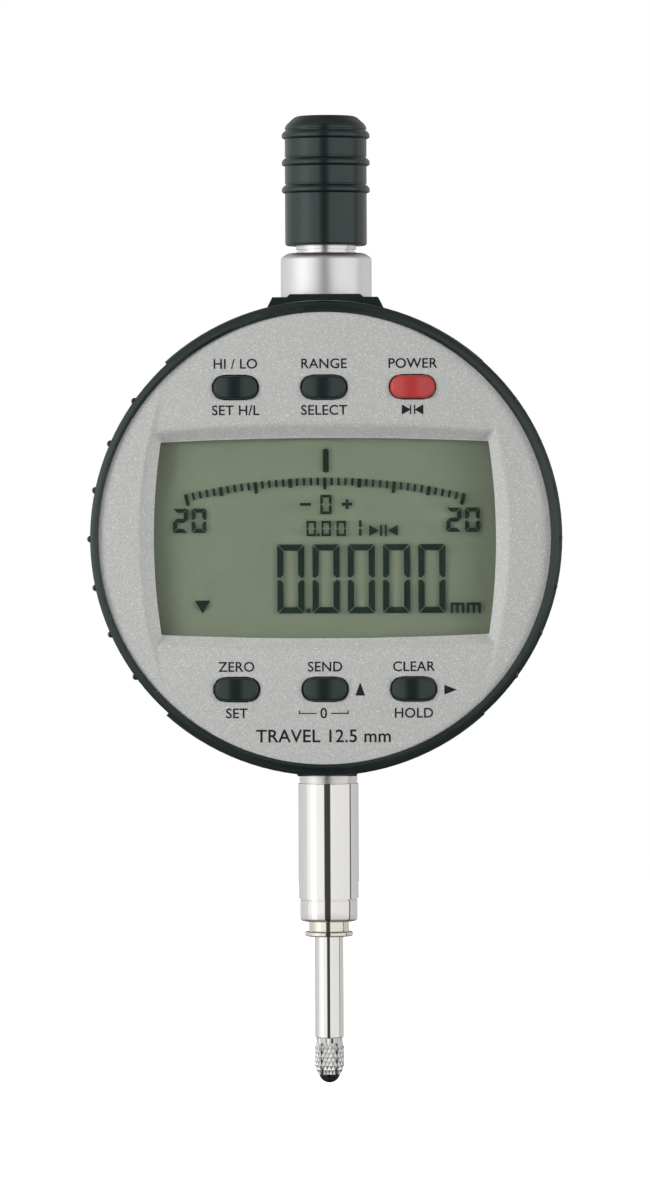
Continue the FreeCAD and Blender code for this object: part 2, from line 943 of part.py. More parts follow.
def display_ring():
    seat = face_radius + hair
    ledge_back = face_back + lens_thickness
    ring = turned_on_y([(ring_bore, ring_back)] + grip_profile(ring_front) + [
        (seat, ring_front + edge_break),
        (seat, face_back),
        (ledge_radius, face_back),
        (ledge_radius, ledge_back),
        (ring_bore, ledge_back),
    ])
    sector = rib_pitch * (rib_count + 1)
    base = ring_radius - rib_radius
    waste = ring_on_y(base, ring_radius + 1, ring_front, ring_back, 0, sector, -sector / 2)
    rib_front = ring_front + crest_round
    rib = rod_on_y(rib_radius, rib_front, ring_back, base)
    taper = Part.makeCone(rib_radius, rib_radius / 2, rib_radius, vector(base, rib_front, 0), vector(0, -1, 0))
    rib = rib.fuse(taper)
    first_rib = -rib_pitch * (rib_count - 1) / 2
    ribs = []
    for side in (0, 180):
        ring = ring.cut(turned_copy(waste, side))
        for index in range(rib_count):
            ribs.append(turned_copy(rib, side + first_rib + index * rib_pitch))
    return joined(ring, ribs)


def display_back():
    plate_radius = ring_bore - hair
    rim = plate_radius - 2 * face_ledge
    body = turned_on_y([
        (hub_bore, plate_front),
        (rim, plate_front),
        (rim, board_back),
        (plate_radius, board_back),
        (plate_radius, ring_back),
        (hub_radius, ring_back),
        (hub_radius, keeper_front),
        (hub_radius - hub_step, keeper_front),
        (hub_radius - hub_step, keeper_front + keeper_thickness),
        (hub_radius, keeper_front + keeper_thickness),
        (hub_radius, hub_end),
        (hub_bore, hub_end),
    ])
    swing = turn_limit + math.degrees(math.asin((stop_pin_radius + gap) / stop_pin_circle))
    reach = stop_pin_radius + gap
    groove = ring_on_y(stop_pin_circle - reach, stop_pin_circle + reach, ring_back - stop_pin_reach - gap,
                       ring_back, 0, 2 * swing, 90 - swing)
    return body.cut([groove] + display_screw_shapes(hair))


def display_screw_shapes(clearance):
    return [
        screw_on_y(x, z, ring_back - hair, -1, display_screw_length + clearance,
                   small_screw_head + clearance, small_screw_head_height, small_screw_radius + clearance)
        for x, z in display_screw_places
    ]


def hub_keeper():
    inner = hub_radius - hub_step + hair
    keeper = ring_on_y(inner, keeper_radius, keeper_front + hair, keeper_front + keeper_thickness - hair)
    opening = block((-hub_radius / 4, hub_radius / 4), (keeper_front, hub_end), (0, 2 * hub_radius))
    return keeper.cut(opening)


def bowed_window(margin):
    """The window's barrel outline, larger by the margin all round."""
    half_width = window_half_width + margin
    half_height = window_half_height + margin
    side = half_width - window_side_bow
    end = half_height - window_end_bow
    return [
        (-side, -end),
        ((0, -half_height), (side, -end)),
        ((half_width, 0), (side, end)),
        ((0, half_height), (-side, end)),
        ((-half_width, 0), (-side, -end)),
    ]


def hollow_outline(half_width):
    """The middle band of the face: bowed sides, cut off level above and below the window."""
    sagitta = hollow_side_radius - math.sqrt(hollow_side_radius ** 2 - hollow_half_height ** 2)
    corner = half_width - sagitta
    return [
        (-corner, -hollow_half_height),
        (corner, -hollow_half_height),
        ((half_width, 0), (corner, hollow_half_height)),
        (-corner, hollow_half_height),
        ((-half_width, 0), (-corner, -hollow_half_height)),
    ]


def face_hollow():
    """What the middle band lies lower than the face: deepest at mid-height, nothing at its ends."""
    walls = tapered_plate(hollow_outline(hollow_half_width), face_front,
                          hollow_outline(hollow_half_width - hollow_slope), face_front + hollow_depth)
    radius = (hollow_half_height ** 2 + hollow_depth ** 2) / (2 * hollow_depth)
    start = vector(-face_radius, face_front + hollow_depth - radius, 0)
    return walls.common(Part.makeCylinder(radius, 2 * face_radius, start, vector(1, 0, 0)))


def face_plate():
    face = rod_on_y(face_radius, face_front, face_back)
    posts = [rod_on_y(display_post_radius, face_back, board_back, x, z) for x, z in display_screw_places]
    face = joined(face.cut(face_hollow()), posts)
    window = tapered_plate(bowed_window(window_bevel), face_front, bowed_window(0), face_back)
    holes = [
        plate(obround(button_width + 2 * button_gap, button_height + 2 * button_gap, x, z), face_front, face_back)
        for x, z in button_places.values()
    ]
    return face.cut([window] + holes + display_screw_shapes(hair))


def window_lens():
    return plate(bowed_window(lens_lap), face_back, lens_back)


def lcd_panel():
    """Two sheets of glass: the front one is shorter, and leaves a ledge for the contacts."""
    middle = (panel_front + panel_back) / 2
    front_sheet = plate(rectangle(panel_half_width, panel_half_height - strip_width / 2), panel_front, middle)
    back_sheet = plate(rectangle(panel_half_width, panel_half_height), middle, panel_back)
    return joined(front_sheet, [back_sheet])


def lcd_reflector():
    return plate(rectangle(panel_half_width - strip_width, panel_half_height - 2 * strip_width),
                 panel_back, reflector_back)


def lcd_frame():
    inner = rectangle(panel_half_width + hair, panel_half_height + hair)
    outer = rectangle(frame_half_width, frame_half_height)
    return plate(outer, panel_front, board_front).cut(plate(inner, panel_front, board_front))


def contact_strips():
    middle = panel_half_height - strip_width / 2 - hair
    half_length = panel_half_width - strip_width
    return Part.makeCompound([
        plate(rectangle(half_length, strip_width / 2, 0, side * middle), panel_back, board_front)
        for side in (-1, 1)
    ])


def display_board():
    board = rod_on_y(ring_bore - face_ledge, board_front, board_back)
    plug = rod_on_y(plug_radius, board_back, board_back + plug_depth)
    holes = [
        rod_on_y(display_post_radius + gap, board_front, board_back, x, z)
        for x, z in display_screw_places
    ]
    return joined(board, [plug]).cut(holes)


def button(x, z):
    """A key with a crowned top, and a flange that keeps it behind the face."""
    top = face_front - button_proud
    half = button_width / 2
    key = plate(obround(button_width, button_height, x, z), top, face_back + hair)
    crown_radius = (half ** 2 + button_crown ** 2) / (2 * button_crown)
    start = vector(x, top + crown_radius, z - button_height)
    crown = Part.makeCylinder(crown_radius, 2 * button_height, start, vector(0, 0, 1))
    flange = plate(obround(button_width + 2 * button_flange, button_height + 2 * button_flange, x, z),
                   face_back + hair, button_back)
    return joined(key.common(crown), [flange])


def button_mat(row):
    """A rubber mat with one dome under each button of its row."""
    half_width = button_column + button_width / 2 + mat_margin
    half_height = button_height / 2 + mat_margin
    mat_front = board_front - mat_thickness
    dome_front = button_back + button_travel + gap / 2
    sheet = plate(rectangle(half_width, half_height, 0, row), mat_front, board_front)
    domes = [
        tapered_plate(obround(button_width - 2 * mat_margin, button_height - mat_margin, x, z), dome_front,
                      obround(button_width, button_height, x, z), mat_front)
        for x, z in button_places.values() if z == row
    ]
    return joined(sheet, domes)


def save(name, shape):
    """Move the piece to the stem's origin and write it."""
    placed = shape.copy()
    placed.translate(vector(0, 0, origin_height))
    placed.exportStep("parts/" + name + ".step")
    print(f"{name:24} solids {len(placed.Solids)}  volume {placed.Volume:9.2f}  valid {placed.isValid()}")


def main():
    os.makedirs("parts", exist_ok=True)
    save("rear_housing", rear_housing())
    save("rear_cover", rear_cover())
    save("rear_cover_seal", rear_cover_seal())
    save("rear_cover_screws", Part.makeCompound(cover_screw_shapes(0)))
    save("turn_seal", turn_seal())
    save("turn_stop_pin", stop_pin())
    save("friction_washer", friction_washer())
    save("stem", stem())
    save("lower_guide_bush", guide_bush(-stem_end + wiper_shank + gap, bush_radius))
    save("wiper_bush", wiper_bush())
    save("top_collar", top_collar())
    save("guide_tube", guide_tube())
    save("upper_guide_bush", guide_bush(tube_bottom, tube_bore - hair))
    save("guide_rail", guide_rail())
    save("guide_rail_screws", Part.makeCompound(rail_screw_shapes(0)))
    save("return_spring", return_spring())
    save("sensor_board", sensor_board())
    save("sensor_board_screws", Part.makeCompound(board_screw_shapes(0)))
    save("sensor_head", sensor_head())
    save("signal_flex", signal_flex())
    save("data_socket", data_socket())
    save("data_port_plug", data_port_plug())
    save("battery_cup", battery_cup())
    save("battery_cell", battery_cell())
    save("battery_contact_minus", battery_contact_minus())
    save("battery_contact_plus", battery_contact_plus())
    save("battery_cover", battery_cover())
    save("battery_cover_seal", battery_cover_seal())
    save("plunger_rod", plunger_rod())
    save("contact_point", contact_point())
    save("contact_ball", contact_ball())
    save("lifting_cap", lifting_cap())
    save("cap_insert", cap_insert())
    save("scale_carrier", scale_carrier())
    save("carrier_screw", carrier_screw())
    save("scale_strip", scale_strip())
    save("anti_rotation_pin", anti_rotation_pin())
    save("display_ring", display_ring())
    save("display_back", display_back())
    save("hub_keeper", hub_keeper())
    save("face_plate", face_plate())
    save("window_lens", window_lens())
    save("lcd_panel", lcd_panel())
    save("lcd_reflector", lcd_reflector())
    save("lcd_frame", lcd_frame())
    save("contact_strips", contact_strips())
    save("display_board", display_board())
    save("display_screws", Part.makeCompound(display_screw_shapes(0)))
    save("button_mat_top", button_mat(button_row))
    save("button_mat_bottom", button_mat(-button_row))
    for name, (x, z) in button_places.items():
        save(name, button(x, z))


main()
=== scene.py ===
# %% [markdown]
# # A digital indicator
#
# A digital indicator measures how far a small plunger moves. Its parts are a round body with a display that
# turns, a steel stem that a stand clamps, and a plunger that slides through the stem. The construction comes
# from the CAD frame, in metres, with Z up along the plunger and the display facing -Y. This script gives every
# visible part its finish, and models again the parts whose edges and surfaces need more than the CAD holds.

# %% Load the frame
import json
import math

import bmesh
import bpy
from mathutils import Matrix, Vector


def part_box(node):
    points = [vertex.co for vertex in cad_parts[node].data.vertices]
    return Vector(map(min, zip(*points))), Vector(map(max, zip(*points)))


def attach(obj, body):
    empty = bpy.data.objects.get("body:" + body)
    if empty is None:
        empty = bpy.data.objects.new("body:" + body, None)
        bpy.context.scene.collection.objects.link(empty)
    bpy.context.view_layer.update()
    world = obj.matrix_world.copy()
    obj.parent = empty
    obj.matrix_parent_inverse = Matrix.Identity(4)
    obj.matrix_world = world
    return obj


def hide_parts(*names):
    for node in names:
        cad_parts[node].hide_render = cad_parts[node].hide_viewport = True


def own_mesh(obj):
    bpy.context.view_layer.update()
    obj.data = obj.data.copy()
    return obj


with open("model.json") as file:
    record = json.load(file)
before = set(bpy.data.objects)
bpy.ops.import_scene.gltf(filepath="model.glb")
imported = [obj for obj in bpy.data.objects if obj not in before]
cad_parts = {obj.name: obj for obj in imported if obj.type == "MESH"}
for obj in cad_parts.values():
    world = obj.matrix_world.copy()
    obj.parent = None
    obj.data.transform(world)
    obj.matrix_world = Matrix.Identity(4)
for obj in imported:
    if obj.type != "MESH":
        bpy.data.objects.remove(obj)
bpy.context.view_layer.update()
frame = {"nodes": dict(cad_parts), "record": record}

# %% [markdown]
# ## Where things are
#
# Every place is read from the frame, so a part that is modelled here lies exactly where its CAD node lies.
# Shapes are drawn in millimetres, because bevels work best on numbers near one, and become metres at the end.

# %% Places on the body, in millimetres
MM = 0.001


def corners_of(node):
    """The lowest and highest corner of a CAD node."""
    low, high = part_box(node)
    return Vector(low) / MM, Vector(high) / MM


def front(node):
    """How far forward a CAD node reaches, along Y."""
    return corners_of(node)[0].y


def back(node):
    return corners_of(node)[1].y


def bottom(node):
    return corners_of(node)[0].z


def top(node):
    return corners_of(node)[1].z


def middle(node):
    low, high = corners_of(node)
    return (low + high) / 2


def radius_of(node):
    """Half the width of a round CAD node."""
    low, high = corners_of(node)
    return (high.x - low.x) / 2


centre = middle("face_plate")
body_height = centre.z
face_front = front("face_plate")
print("the body's centre is", round(body_height, 2), "mm above the stem's middle")

# %% [markdown]
# ## Finishing a mesh
#
# Each new piece ends in the same way. Doubled vertices are merged, faces point outwards, and it becomes metres.
# A sharp angle keeps turned edges crisp, and weighted normals stop a small round from bending the light on the
# wall beside it. Then it rides on its body, takes its finish, and the CAD nodes that it replaces are hidden.

# %% From a bmesh to a piece of the object
MERGE = 0.0005
WALL_WEIGHT = 80


def put_in_scene(name, data):
    thing = bpy.data.objects.new(name, data)
    bpy.context.scene.collection.objects.link(thing)
    return thing


def soften(shape, geom, size, steps, affect="EDGES"):
    """Round edges, or corners of an outline."""
    bmesh.ops.bevel(shape, geom=geom, offset=size, offset_type="OFFSET", segments=steps, profile=0.5,
                    affect=affect, material=-1)


def extruded(shape, faces):
    """Extrude faces, and give back the vertices that the copy of them has."""
    grown = bmesh.ops.extrude_face_region(shape, geom=faces)
    return [item for item in grown["geom"] if isinstance(item, bmesh.types.BMVert)]


def finish_piece(name, shape, body, slot, nodes=(), sharp=35.0, look=None):
    """Make a bmesh a piece of a body. It looks like its slot's finish, unless another look is named."""
    bmesh.ops.remove_doubles(shape, verts=shape.verts, dist=MERGE)
    bmesh.ops.recalc_face_normals(shape, faces=shape.faces)
    is_closed = all(len(edge.link_faces) == 2 for edge in shape.edges)
    bmesh.ops.scale(shape, vec=(MM, MM, MM), verts=shape.verts)
    mesh = bpy.data.meshes.new(name)
    shape.to_mesh(mesh)
    shape.free()
    mesh.polygons.foreach_set("use_smooth", [True] * len(mesh.polygons))
    mesh.set_sharp_from_angle(angle=math.radians(sharp))
    mesh.materials.append(finishes[look or slot])
    piece = put_in_scene(name, mesh)
    weighted = piece.modifiers.new("weighted_normals", "WEIGHTED_NORMAL")
    weighted.keep_sharp = True
    weighted.weight = WALL_WEIGHT
    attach(piece, body)
    if nodes:
        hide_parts(*nodes)
    print(name, len(mesh.polygons), "faces,", "closed" if is_closed else "open")
    return piece


# %% [markdown]
# ## Shader groups
#
# Several finishes share an effect, such as the grain of moulded plastic or the lines that a lathe leaves. Each
# effect is a node group that puts out only masks and heights, so the Principled BSDF stays in the material,
# where the export can read it. All patterns use Object coordinates, so their sizes are real.

# %% Helpers for node trees
def connect(tree, socket, value):
    """Give an input a number, a colour or another node's output."""
    if isinstance(value, bpy.types.NodeSocket):
        tree.links.new(value, socket)
    else:
        socket.default_value = value


def feed(tree, node, **sockets):
    for name, value in sockets.items():
        connect(tree, node.inputs[name.replace("_", " ")], value)


def add(tree, kind, settings=None, **sockets):
    """Add a node with its settings and inputs."""
    made = tree.nodes.new("ShaderNode" + kind)
    for name, value in (settings or {}).items():
        setattr(made, name, value)
    feed(tree, made, **sockets)
    return made


def calculate(tree, operation, *values):
    """A Math node's output."""
    made = add(tree, "Math", {"operation": operation})
    for socket, value in zip(made.inputs, values):
        connect(tree, socket, value)
    return made.outputs[0]


def blend(tree, share, low, high):
    """A colour between two colours."""
    mixed = add(tree, "Mix", {"data_type": "RGBA"})
    for index, value in ((0, share), (6, low), (7, high)):
        connect(tree, mixed.inputs[index], value)
    return mixed.outputs[2]


def coordinates(tree, kind="Object"):
    """A place's X, Y and Z."""
    return add(tree, "SeparateXYZ", Vector=add(tree, "TexCoord").outputs[kind]).outputs


def new_group(name, inputs, outputs):
    """An empty shader node group with float or vector inputs and float outputs."""
    tree = bpy.data.node_groups.new(name, "ShaderNodeTree")
    for label, value in inputs.items():
        kind = "NodeSocketVector" if isinstance(value, tuple) else "NodeSocketFloat"
        socket = tree.interface.new_socket(name=label, in_out="INPUT", socket_type=kind)
        socket.default_value = value
    for label in outputs:
        tree.interface.new_socket(name=label, in_out="OUTPUT", socket_type="NodeSocketFloat")
    return tree, tree.nodes.new("NodeGroupInput").outputs, tree.nodes.new("NodeGroupOutput")


def use(tree, group, **sockets):
    """Place a group in a material and set its inputs."""
    return add(tree, "Group", {"node_tree": group}, **sockets).outputs


# %% Grain: the fine texture of a moulded or painted surface
BROAD_PER_METRE = 90.0
tree, given, result = new_group("fine_grain", {"Size": 0.0003}, ["Height", "Shade"])
grain_group = tree
place = add(tree, "TexCoord").outputs["Object"]
frequency = calculate(tree, "DIVIDE", 1.0, given["Size"])
fine = add(tree, "TexNoise", Vector=place, Scale=frequency, Detail=2.0, Roughness=0.6).outputs["Fac"]
broad = add(tree, "TexNoise", Vector=place, Scale=BROAD_PER_METRE, Detail=3.0).outputs["Fac"]
feed(tree, result, Height=fine, Shade=broad)

# %% Flecks: the bright flakes in metallic paint
FLAKE_REACH = 0.42
tree, given, result = new_group("paint_flecks", {"Size": 0.0004, "Amount": 0.1}, ["Mask", "Tone"])
fleck_group = tree
place = add(tree, "TexCoord").outputs["Object"]
frequency = calculate(tree, "DIVIDE", 1.0, given["Size"])
cells = add(tree, "TexVoronoi", {"feature": "F1"}, Vector=place, Scale=frequency).outputs
apart = add(tree, "SeparateColor", Color=cells["Color"]).outputs
rare = calculate(tree, "LESS_THAN", apart[0], given["Amount"])
near = calculate(tree, "LESS_THAN", cells["Distance"], FLAKE_REACH)
feed(tree, result, Mask=calculate(tree, "MULTIPLY", rare, near), Tone=apart[1])

# %% Lines: what a lathe or a grinding wheel leaves round a turned part
PATCHES_PER_METRE = 150.0
tree, given, result = new_group("turning_lines", {"Frequency": (60.0, 60.0, 9000.0)}, ["Height", "Shade"])
line_group = tree
place = add(tree, "TexCoord").outputs["Object"]
stretched = add(tree, "VectorMath", {"operation": "MULTIPLY"})
connect(tree, stretched.inputs[0], place)
connect(tree, stretched.inputs[1], given["Frequency"])
lines = add(tree, "TexNoise", Vector=stretched.outputs[0], Scale=1.0, Detail=3.0).outputs["Fac"]
patches = add(tree, "TexNoise", Vector=place, Scale=PATCHES_PER_METRE, Detail=2.0).outputs["Fac"]
feed(tree, result, Height=lines, Shade=patches)

# %% [markdown]
# ## Finishes
#
# A finish is a colour, a gloss and a fine surface. Most of the object is plastic, rubber or ground metal, so two
# functions make most materials. They are kept by name in `finishes`, and each slot has the name of its finish.

# %% Functions that make a finish
finishes = {}


def new_material(slot):
    material = bpy.data.materials.new(slot)
    material.use_nodes = True
    finishes[slot] = material
    return material.node_tree, material.node_tree.nodes["Principled BSDF"]


def vary(tree, amount, around, strength):
    """A value that strays from `around` by up to half the strength."""
    swing = calculate(tree, "MULTIPLY", calculate(tree, "SUBTRACT", amount, 0.5), strength)
    return calculate(tree, "ADD", swing, around)


def shade(tree, amount, colour, strength):
    """The colour, made a little lighter and darker."""
    low = [channel * (1 - strength / 2) for channel in colour] + [1]
    high = [min(1, channel * (1 + strength / 2)) for channel in colour] + [1]
    return blend(tree, amount, low, high)


def bump(tree, shader, height, depth):
    """Give the surface a relief of the given depth in millimetres."""
    relief = add(tree, "Bump", Height=height, Strength=1.0, Distance=depth * MM)
    feed(tree, shader, Normal=relief.outputs[0])


MOTTLE = 0.12
LINES_PER_METRE_ACROSS = 25.0
LINE_SHADE = 0.06


def moulded(slot, colour, roughness, size, depth, gloss=0.5, tint=(1, 1, 1)):
    """Plastic, rubber or paint with a fine even grain, whose size and depth are in millimetres."""
    tree, shader = new_material(slot)
    grain = use(tree, grain_group, Size=size * MM)
    feed(tree, shader, Base_Color=shade(tree, grain["Shade"], colour, MOTTLE),
         Roughness=vary(tree, grain["Shade"], roughness, MOTTLE),
         Specular_IOR_Level=gloss, Specular_Tint=(*tint, 1))
    bump(tree, shader, grain["Height"], depth)


def ground(slot, colour, roughness, pitch, depth, axis="Z"):
    """Metal with fine lines round the axis that it was turned or ground about."""
    tree, shader = new_material(slot)
    across, along = LINES_PER_METRE_ACROSS, 1 / (pitch * MM)
    frequency = (across, along, across) if axis == "Y" else (across, across, along)
    lines = use(tree, line_group, Frequency=frequency)
    feed(tree, shader, Base_Color=shade(tree, lines["Height"], colour, LINE_SHADE), Metallic=1.0,
         Roughness=vary(tree, lines["Shade"], roughness, roughness / 2))
    bump(tree, shader, lines["Height"], depth)
    return tree, shader


# %% Plastics, paints and rubbers: colour, roughness, the grain's size and depth, and the gloss
DARK_GLOSS = (0.87, 1.0, 0.98)
moulded("case_black", (0.008, 0.0145, 0.0135), 0.25, 0.22, 0.002, 0.76, DARK_GLOSS)
moulded("cover_black", (0.009, 0.015, 0.014), 0.42, 0.35, 0.006, 0.7, DARK_GLOSS)
moulded("key_black", (0.009, 0.0165, 0.016), 0.22, 0.15, 0.001, 0.60, DARK_GLOSS)
moulded("key_red", (0.44, 0.040, 0.037), 0.22, 0.15, 0.001, 0.65)
moulded("seal_rubber", (0.012, 0.012, 0.012), 0.6, 0.3, 0.004)
moulded("mat_rubber", (0.32, 0.33, 0.33), 0.6, 0.3, 0.004)
moulded("chip_black", (0.015, 0.015, 0.015), 0.55, 0.2, 0.004)
moulded("frame_white", (0.72, 0.72, 0.69), 0.5, 0.3, 0.003)
moulded("board_green", (0.02, 0.16, 0.06), 0.3, 0.5, 0.006)
moulded("flex_amber", (0.50, 0.22, 0.03), 0.25, 0.5, 0.002)
moulded("reflector", (0.36, 0.41, 0.31), 0.6, 0.4, 0.002)
moulded("print_ink", (0.012, 0.012, 0.013), 0.5, 0.2, 0.002, 0.3)
moulded("segment_ink", (0.007, 0.017, 0.012), 0.45, 0.3, 0.001, 0.15)

# %% Metals: colour, roughness, the lines' pitch and depth in millimetres, and their axis
ground("pale_brass", (0.87, 0.84, 0.74), 0.10, 0.12, 0.00015)
ground("dark_steel", (0.10, 0.095, 0.09), 0.12, 0.05, 0.0001)
ground("collar_metal", (0.98, 0.975, 0.97), 0.40, 0.05, 0.0008)
ground("screw_steel", (0.34, 0.34, 0.34), 0.35, 0.08, 0.001, "Y")
ground("spring_steel", (0.55, 0.54, 0.52), 0.3, 0.05, 0.0005)
ground("cell_steel", (0.72, 0.71, 0.69), 0.22, 0.06, 0.0005, "Y")
ground("contact_gold", (0.80, 0.60, 0.25), 0.25, 0.06, 0.0005, "Y")
ground("cast_aluminium", (0.62, 0.62, 0.62), 0.4, 0.3, 0.002)
ground("brass", (0.72, 0.53, 0.23), 0.25, 0.06, 0.0008)
ground("bush_bronze", (0.55, 0.36, 0.17), 0.35, 0.06, 0.0008)

# %% Steel that is polished below a height and satin above it: the stem's neck, and the tube under the cap
def add_haze(tree, shader, where, haze):
    """Make the surface rougher by the haze, as far as `where` is 1."""
    polish = shader.inputs["Roughness"].links[0].from_socket
    feed(tree, shader, Roughness=calculate(tree, "MULTIPLY_ADD", where, haze, polish))


def satin_above(tree, shader, height, haze):
    add_haze(tree, shader, calculate(tree, "GREATER_THAN", coordinates(tree)["Z"], height * MM), haze)


NECK_START, NECK_HAZE, TUBE_HAZE = 7.35, 0.30, 0.18
satin_above(*ground("polished_steel", (0.885, 0.87, 0.84), 0.04, 0.12, 0.00010), NECK_START, NECK_HAZE)
satin_above(*ground("ground_steel", (0.95, 0.94, 0.92), 0.08, 0.05, 0.0003), body_height, TUBE_HAZE)

# %% [markdown]
# ### The face's paint
#
# The face is painted silver grey with flakes, over a slightly uneven, hammered ground. The flakes are cells of a
# Voronoi texture: most are only a little lighter or darker than the paint, and a few are painted bright, a
# painted glint where a flake catches the light. A metallic shader would turn dark where the room is dark.

# %% Silver paint with flakes
SILVER, SPARKLE = (0.472, 0.478, 0.463), (0.76, 0.77, 0.75, 1)
FLAKE_SIZE, FLAKE_SHARE = 0.14, 0.12
HAMMER_SIZE, HAMMER_DEPTH = 0.42, 0.035
tree, shader = new_material("face_silver")
flecks = use(tree, fleck_group, Size=FLAKE_SIZE * MM, Amount=FLAKE_SHARE)
hammered = use(tree, grain_group, Size=HAMMER_SIZE * MM)
paint = shade(tree, flecks["Tone"], SILVER, 0.22)
# The rare bright flakes are real flakes whose glint is painted into the colour: a painted highlight.
feed(tree, shader, Base_Color=blend(tree, flecks["Mask"], paint, SPARKLE),
     Roughness=vary(tree, flecks["Tone"], 0.42, 0.25), Specular_IOR_Level=0.4)
bump(tree, shader, hammered["Height"], HAMMER_DEPTH)

# %% [markdown]
# ### Glass and the liquid-crystal panel
#
# The window is a clear sheet of acrylic, so it keeps plain numbers: full transmission, no roughness. Only its
# alpha changes, to let straight light rays through to the panel, as a thin clear sheet does. The panel behind
# it is a grey-green reflector under polarising film: matt, and slightly uneven in tone.

# %% The window, the scale and the panel
CLEAR_TO_LIGHT = 0.92
ACRYLIC_IOR = 1.49
tree, shader = new_material("lens")
straight = add(tree, "LightPath").outputs["Is Shadow Ray"]
opaque = calculate(tree, "SUBTRACT", 1.0, calculate(tree, "MULTIPLY", straight, CLEAR_TO_LIGHT))
feed(tree, shader, Base_Color=(0.98, 0.99, 0.98, 1), Roughness=0.0, IOR=ACRYLIC_IOR, Transmission_Weight=1.0,
     Alpha=opaque)

tree, shader = new_material("scale_glass")
feed(tree, shader, Base_Color=(0.75, 0.85, 0.85, 1), Roughness=0.05, Transmission_Weight=0.6)

PANEL = (0.124, 0.148, 0.100)
FILM_GRAIN, FILM_RELIEF = 0.5, 0.002
tree, shader = new_material("panel_green")
film = use(tree, grain_group, Size=FILM_GRAIN * MM)
feed(tree, shader, Base_Color=shade(tree, film["Shade"], PANEL, 0.10),
     Roughness=vary(tree, film["Height"], 0.5, 0.1))
bump(tree, shader, film["Height"], FILM_RELIEF)
print(len(finishes), "finishes")

# %% Dress the CAD nodes that stay
slot_of = {part["node"]: part["material_slot"] for part in frame["record"]["subparts"]}
for name, node in frame["nodes"].items():
    for index in range(len(node.material_slots)):
        node.material_slots[index].material = finishes[slot_of[name]]
print("dressed", len(slot_of), "nodes")

# %% [markdown]
# ## Turned parts
#
# The stem, the plunger, the collar and the cap are turned on a lathe. Such a part is half of its outline, spun
# round its axis. Real edges are never perfectly sharp, so a corner of the outline may have a small radius.
# Rounding it before the spin costs far less than bevelling the finished solid.

# %% A lathe
def turned(steps, axis="Z", segments=128):
    """A solid from steps of radius, height and, where the corner is rounded, the round's size."""
    shape = bmesh.new()
    corners = []
    for step in steps:
        spot = (step[0], 0, step[1]) if axis == "Z" else (step[0], step[1], 0)
        corners.append(shape.verts.new(spot))
    ends = corners[1:] if steps[0][0] == 0 else corners[1:] + corners[:1]
    for start, end in zip(corners, ends):
        shape.edges.new((start, end))
    for corner, step in zip(corners, steps):
        if len(step) == 3:
            soften(shape, [corner], step[2], 4, "VERTICES")
    about = (0, 0, 1) if axis == "Z" else (0, 1, 0)
    bmesh.ops.spin(shape, geom=shape.verts[:] + shape.edges[:], cent=(0, 0, 0), axis=about, dvec=(0, 0, 0),
                   angle=math.tau, steps=segments, use_merge=True, use_normal_flip=False, use_duplicate=False)
    bmesh.ops.remove_doubles(shape, verts=shape.verts, dist=MERGE)
    return shape


# %% [markdown]
# ### Stem and wiper bush
#
# The stem is ground to a mirror, with a fine line turned into it at its neck and near its lower end. It looks
# like steel by what it reflects, so the shape only needs true edges. The pale bush in its end wipes the
# plunger: it shows as a thin flange, polished like the stem.

# %% Stem
stem_radius, stem_bore, shank_radius = 4.0, 2.7, 3.5
pad_bottom = bottom("rear_housing")
stem_end = bottom("stem")
groove_top = -8.1
line_width, line_depth = 0.16, 0.2
relief = stem_radius - 0.16
finish_piece("ground_stem", turned([
    (stem_bore, top("stem")),
    (shank_radius, top("stem")),
    (shank_radius, pad_bottom),
    (relief, pad_bottom),
    (relief, NECK_START + line_width),
    (relief - line_depth, NECK_START + line_width),
    (relief - line_depth, NECK_START),
    (stem_radius, NECK_START, 0.05),
    (stem_radius, groove_top, 0.03),
    (relief - line_depth, groove_top),
    (relief - line_depth, groove_top - line_width),
    (relief, groove_top - line_width, 0.03),
    (relief, stem_end, 0.45),
    (stem_bore, stem_end, 0.1),
]), "housing", "polished_steel", ["stem"])

# %% Wiper bush
wiper_end = bottom("wiper_bush")
wiper_bore, sleeve_radius = 1.985, 2.675
flange_radius, flange_top = radius_of("wiper_bush"), wiper_end + 0.65
finish_piece("pale_wiper_bush", turned([
    (wiper_bore, top("wiper_bush")),
    (sleeve_radius, top("wiper_bush")),
    (sleeve_radius, flange_top, 0.12),
    (flange_radius, flange_top, 0.20),
    (flange_radius, wiper_end, 0.20),
    (wiper_bore, wiper_end, 0.1),
]), "housing", "pale_brass", ["wiper_bush"])

# %% [markdown]
# ### Plunger, contact point and ball
#
# The contact point screws into the plunger, so its barrel is knurled for the fingers. A diamond knurl is two
# sets of crossed grooves that leave rows of small pyramids. A barrel with a coarse grid shows them if every
# second vertex stands out and the low ones are joined across each face.

# %% Plunger rod, with the hole that the contact point screws into and the pin that the cap sits on
rod_radius, hole_radius, pin_radius = 1.925, 1.22, 1.6
rod_end, rod_top = bottom("plunger_rod"), top("plunger_rod")
hole_end, pin_foot = rod_end + 5.3, rod_top - 2.4
finish_piece("ground_plunger", turned([
    (0, hole_end),
    (hole_radius, hole_end),
    (hole_radius, rod_end),
    (rod_radius, rod_end, 0.12),
    (rod_radius, pin_foot),
    (pin_radius, pin_foot),
    (pin_radius, rod_top),
    (0, rod_top),
]), "plunger", "polished_steel", ["plunger_rod"])

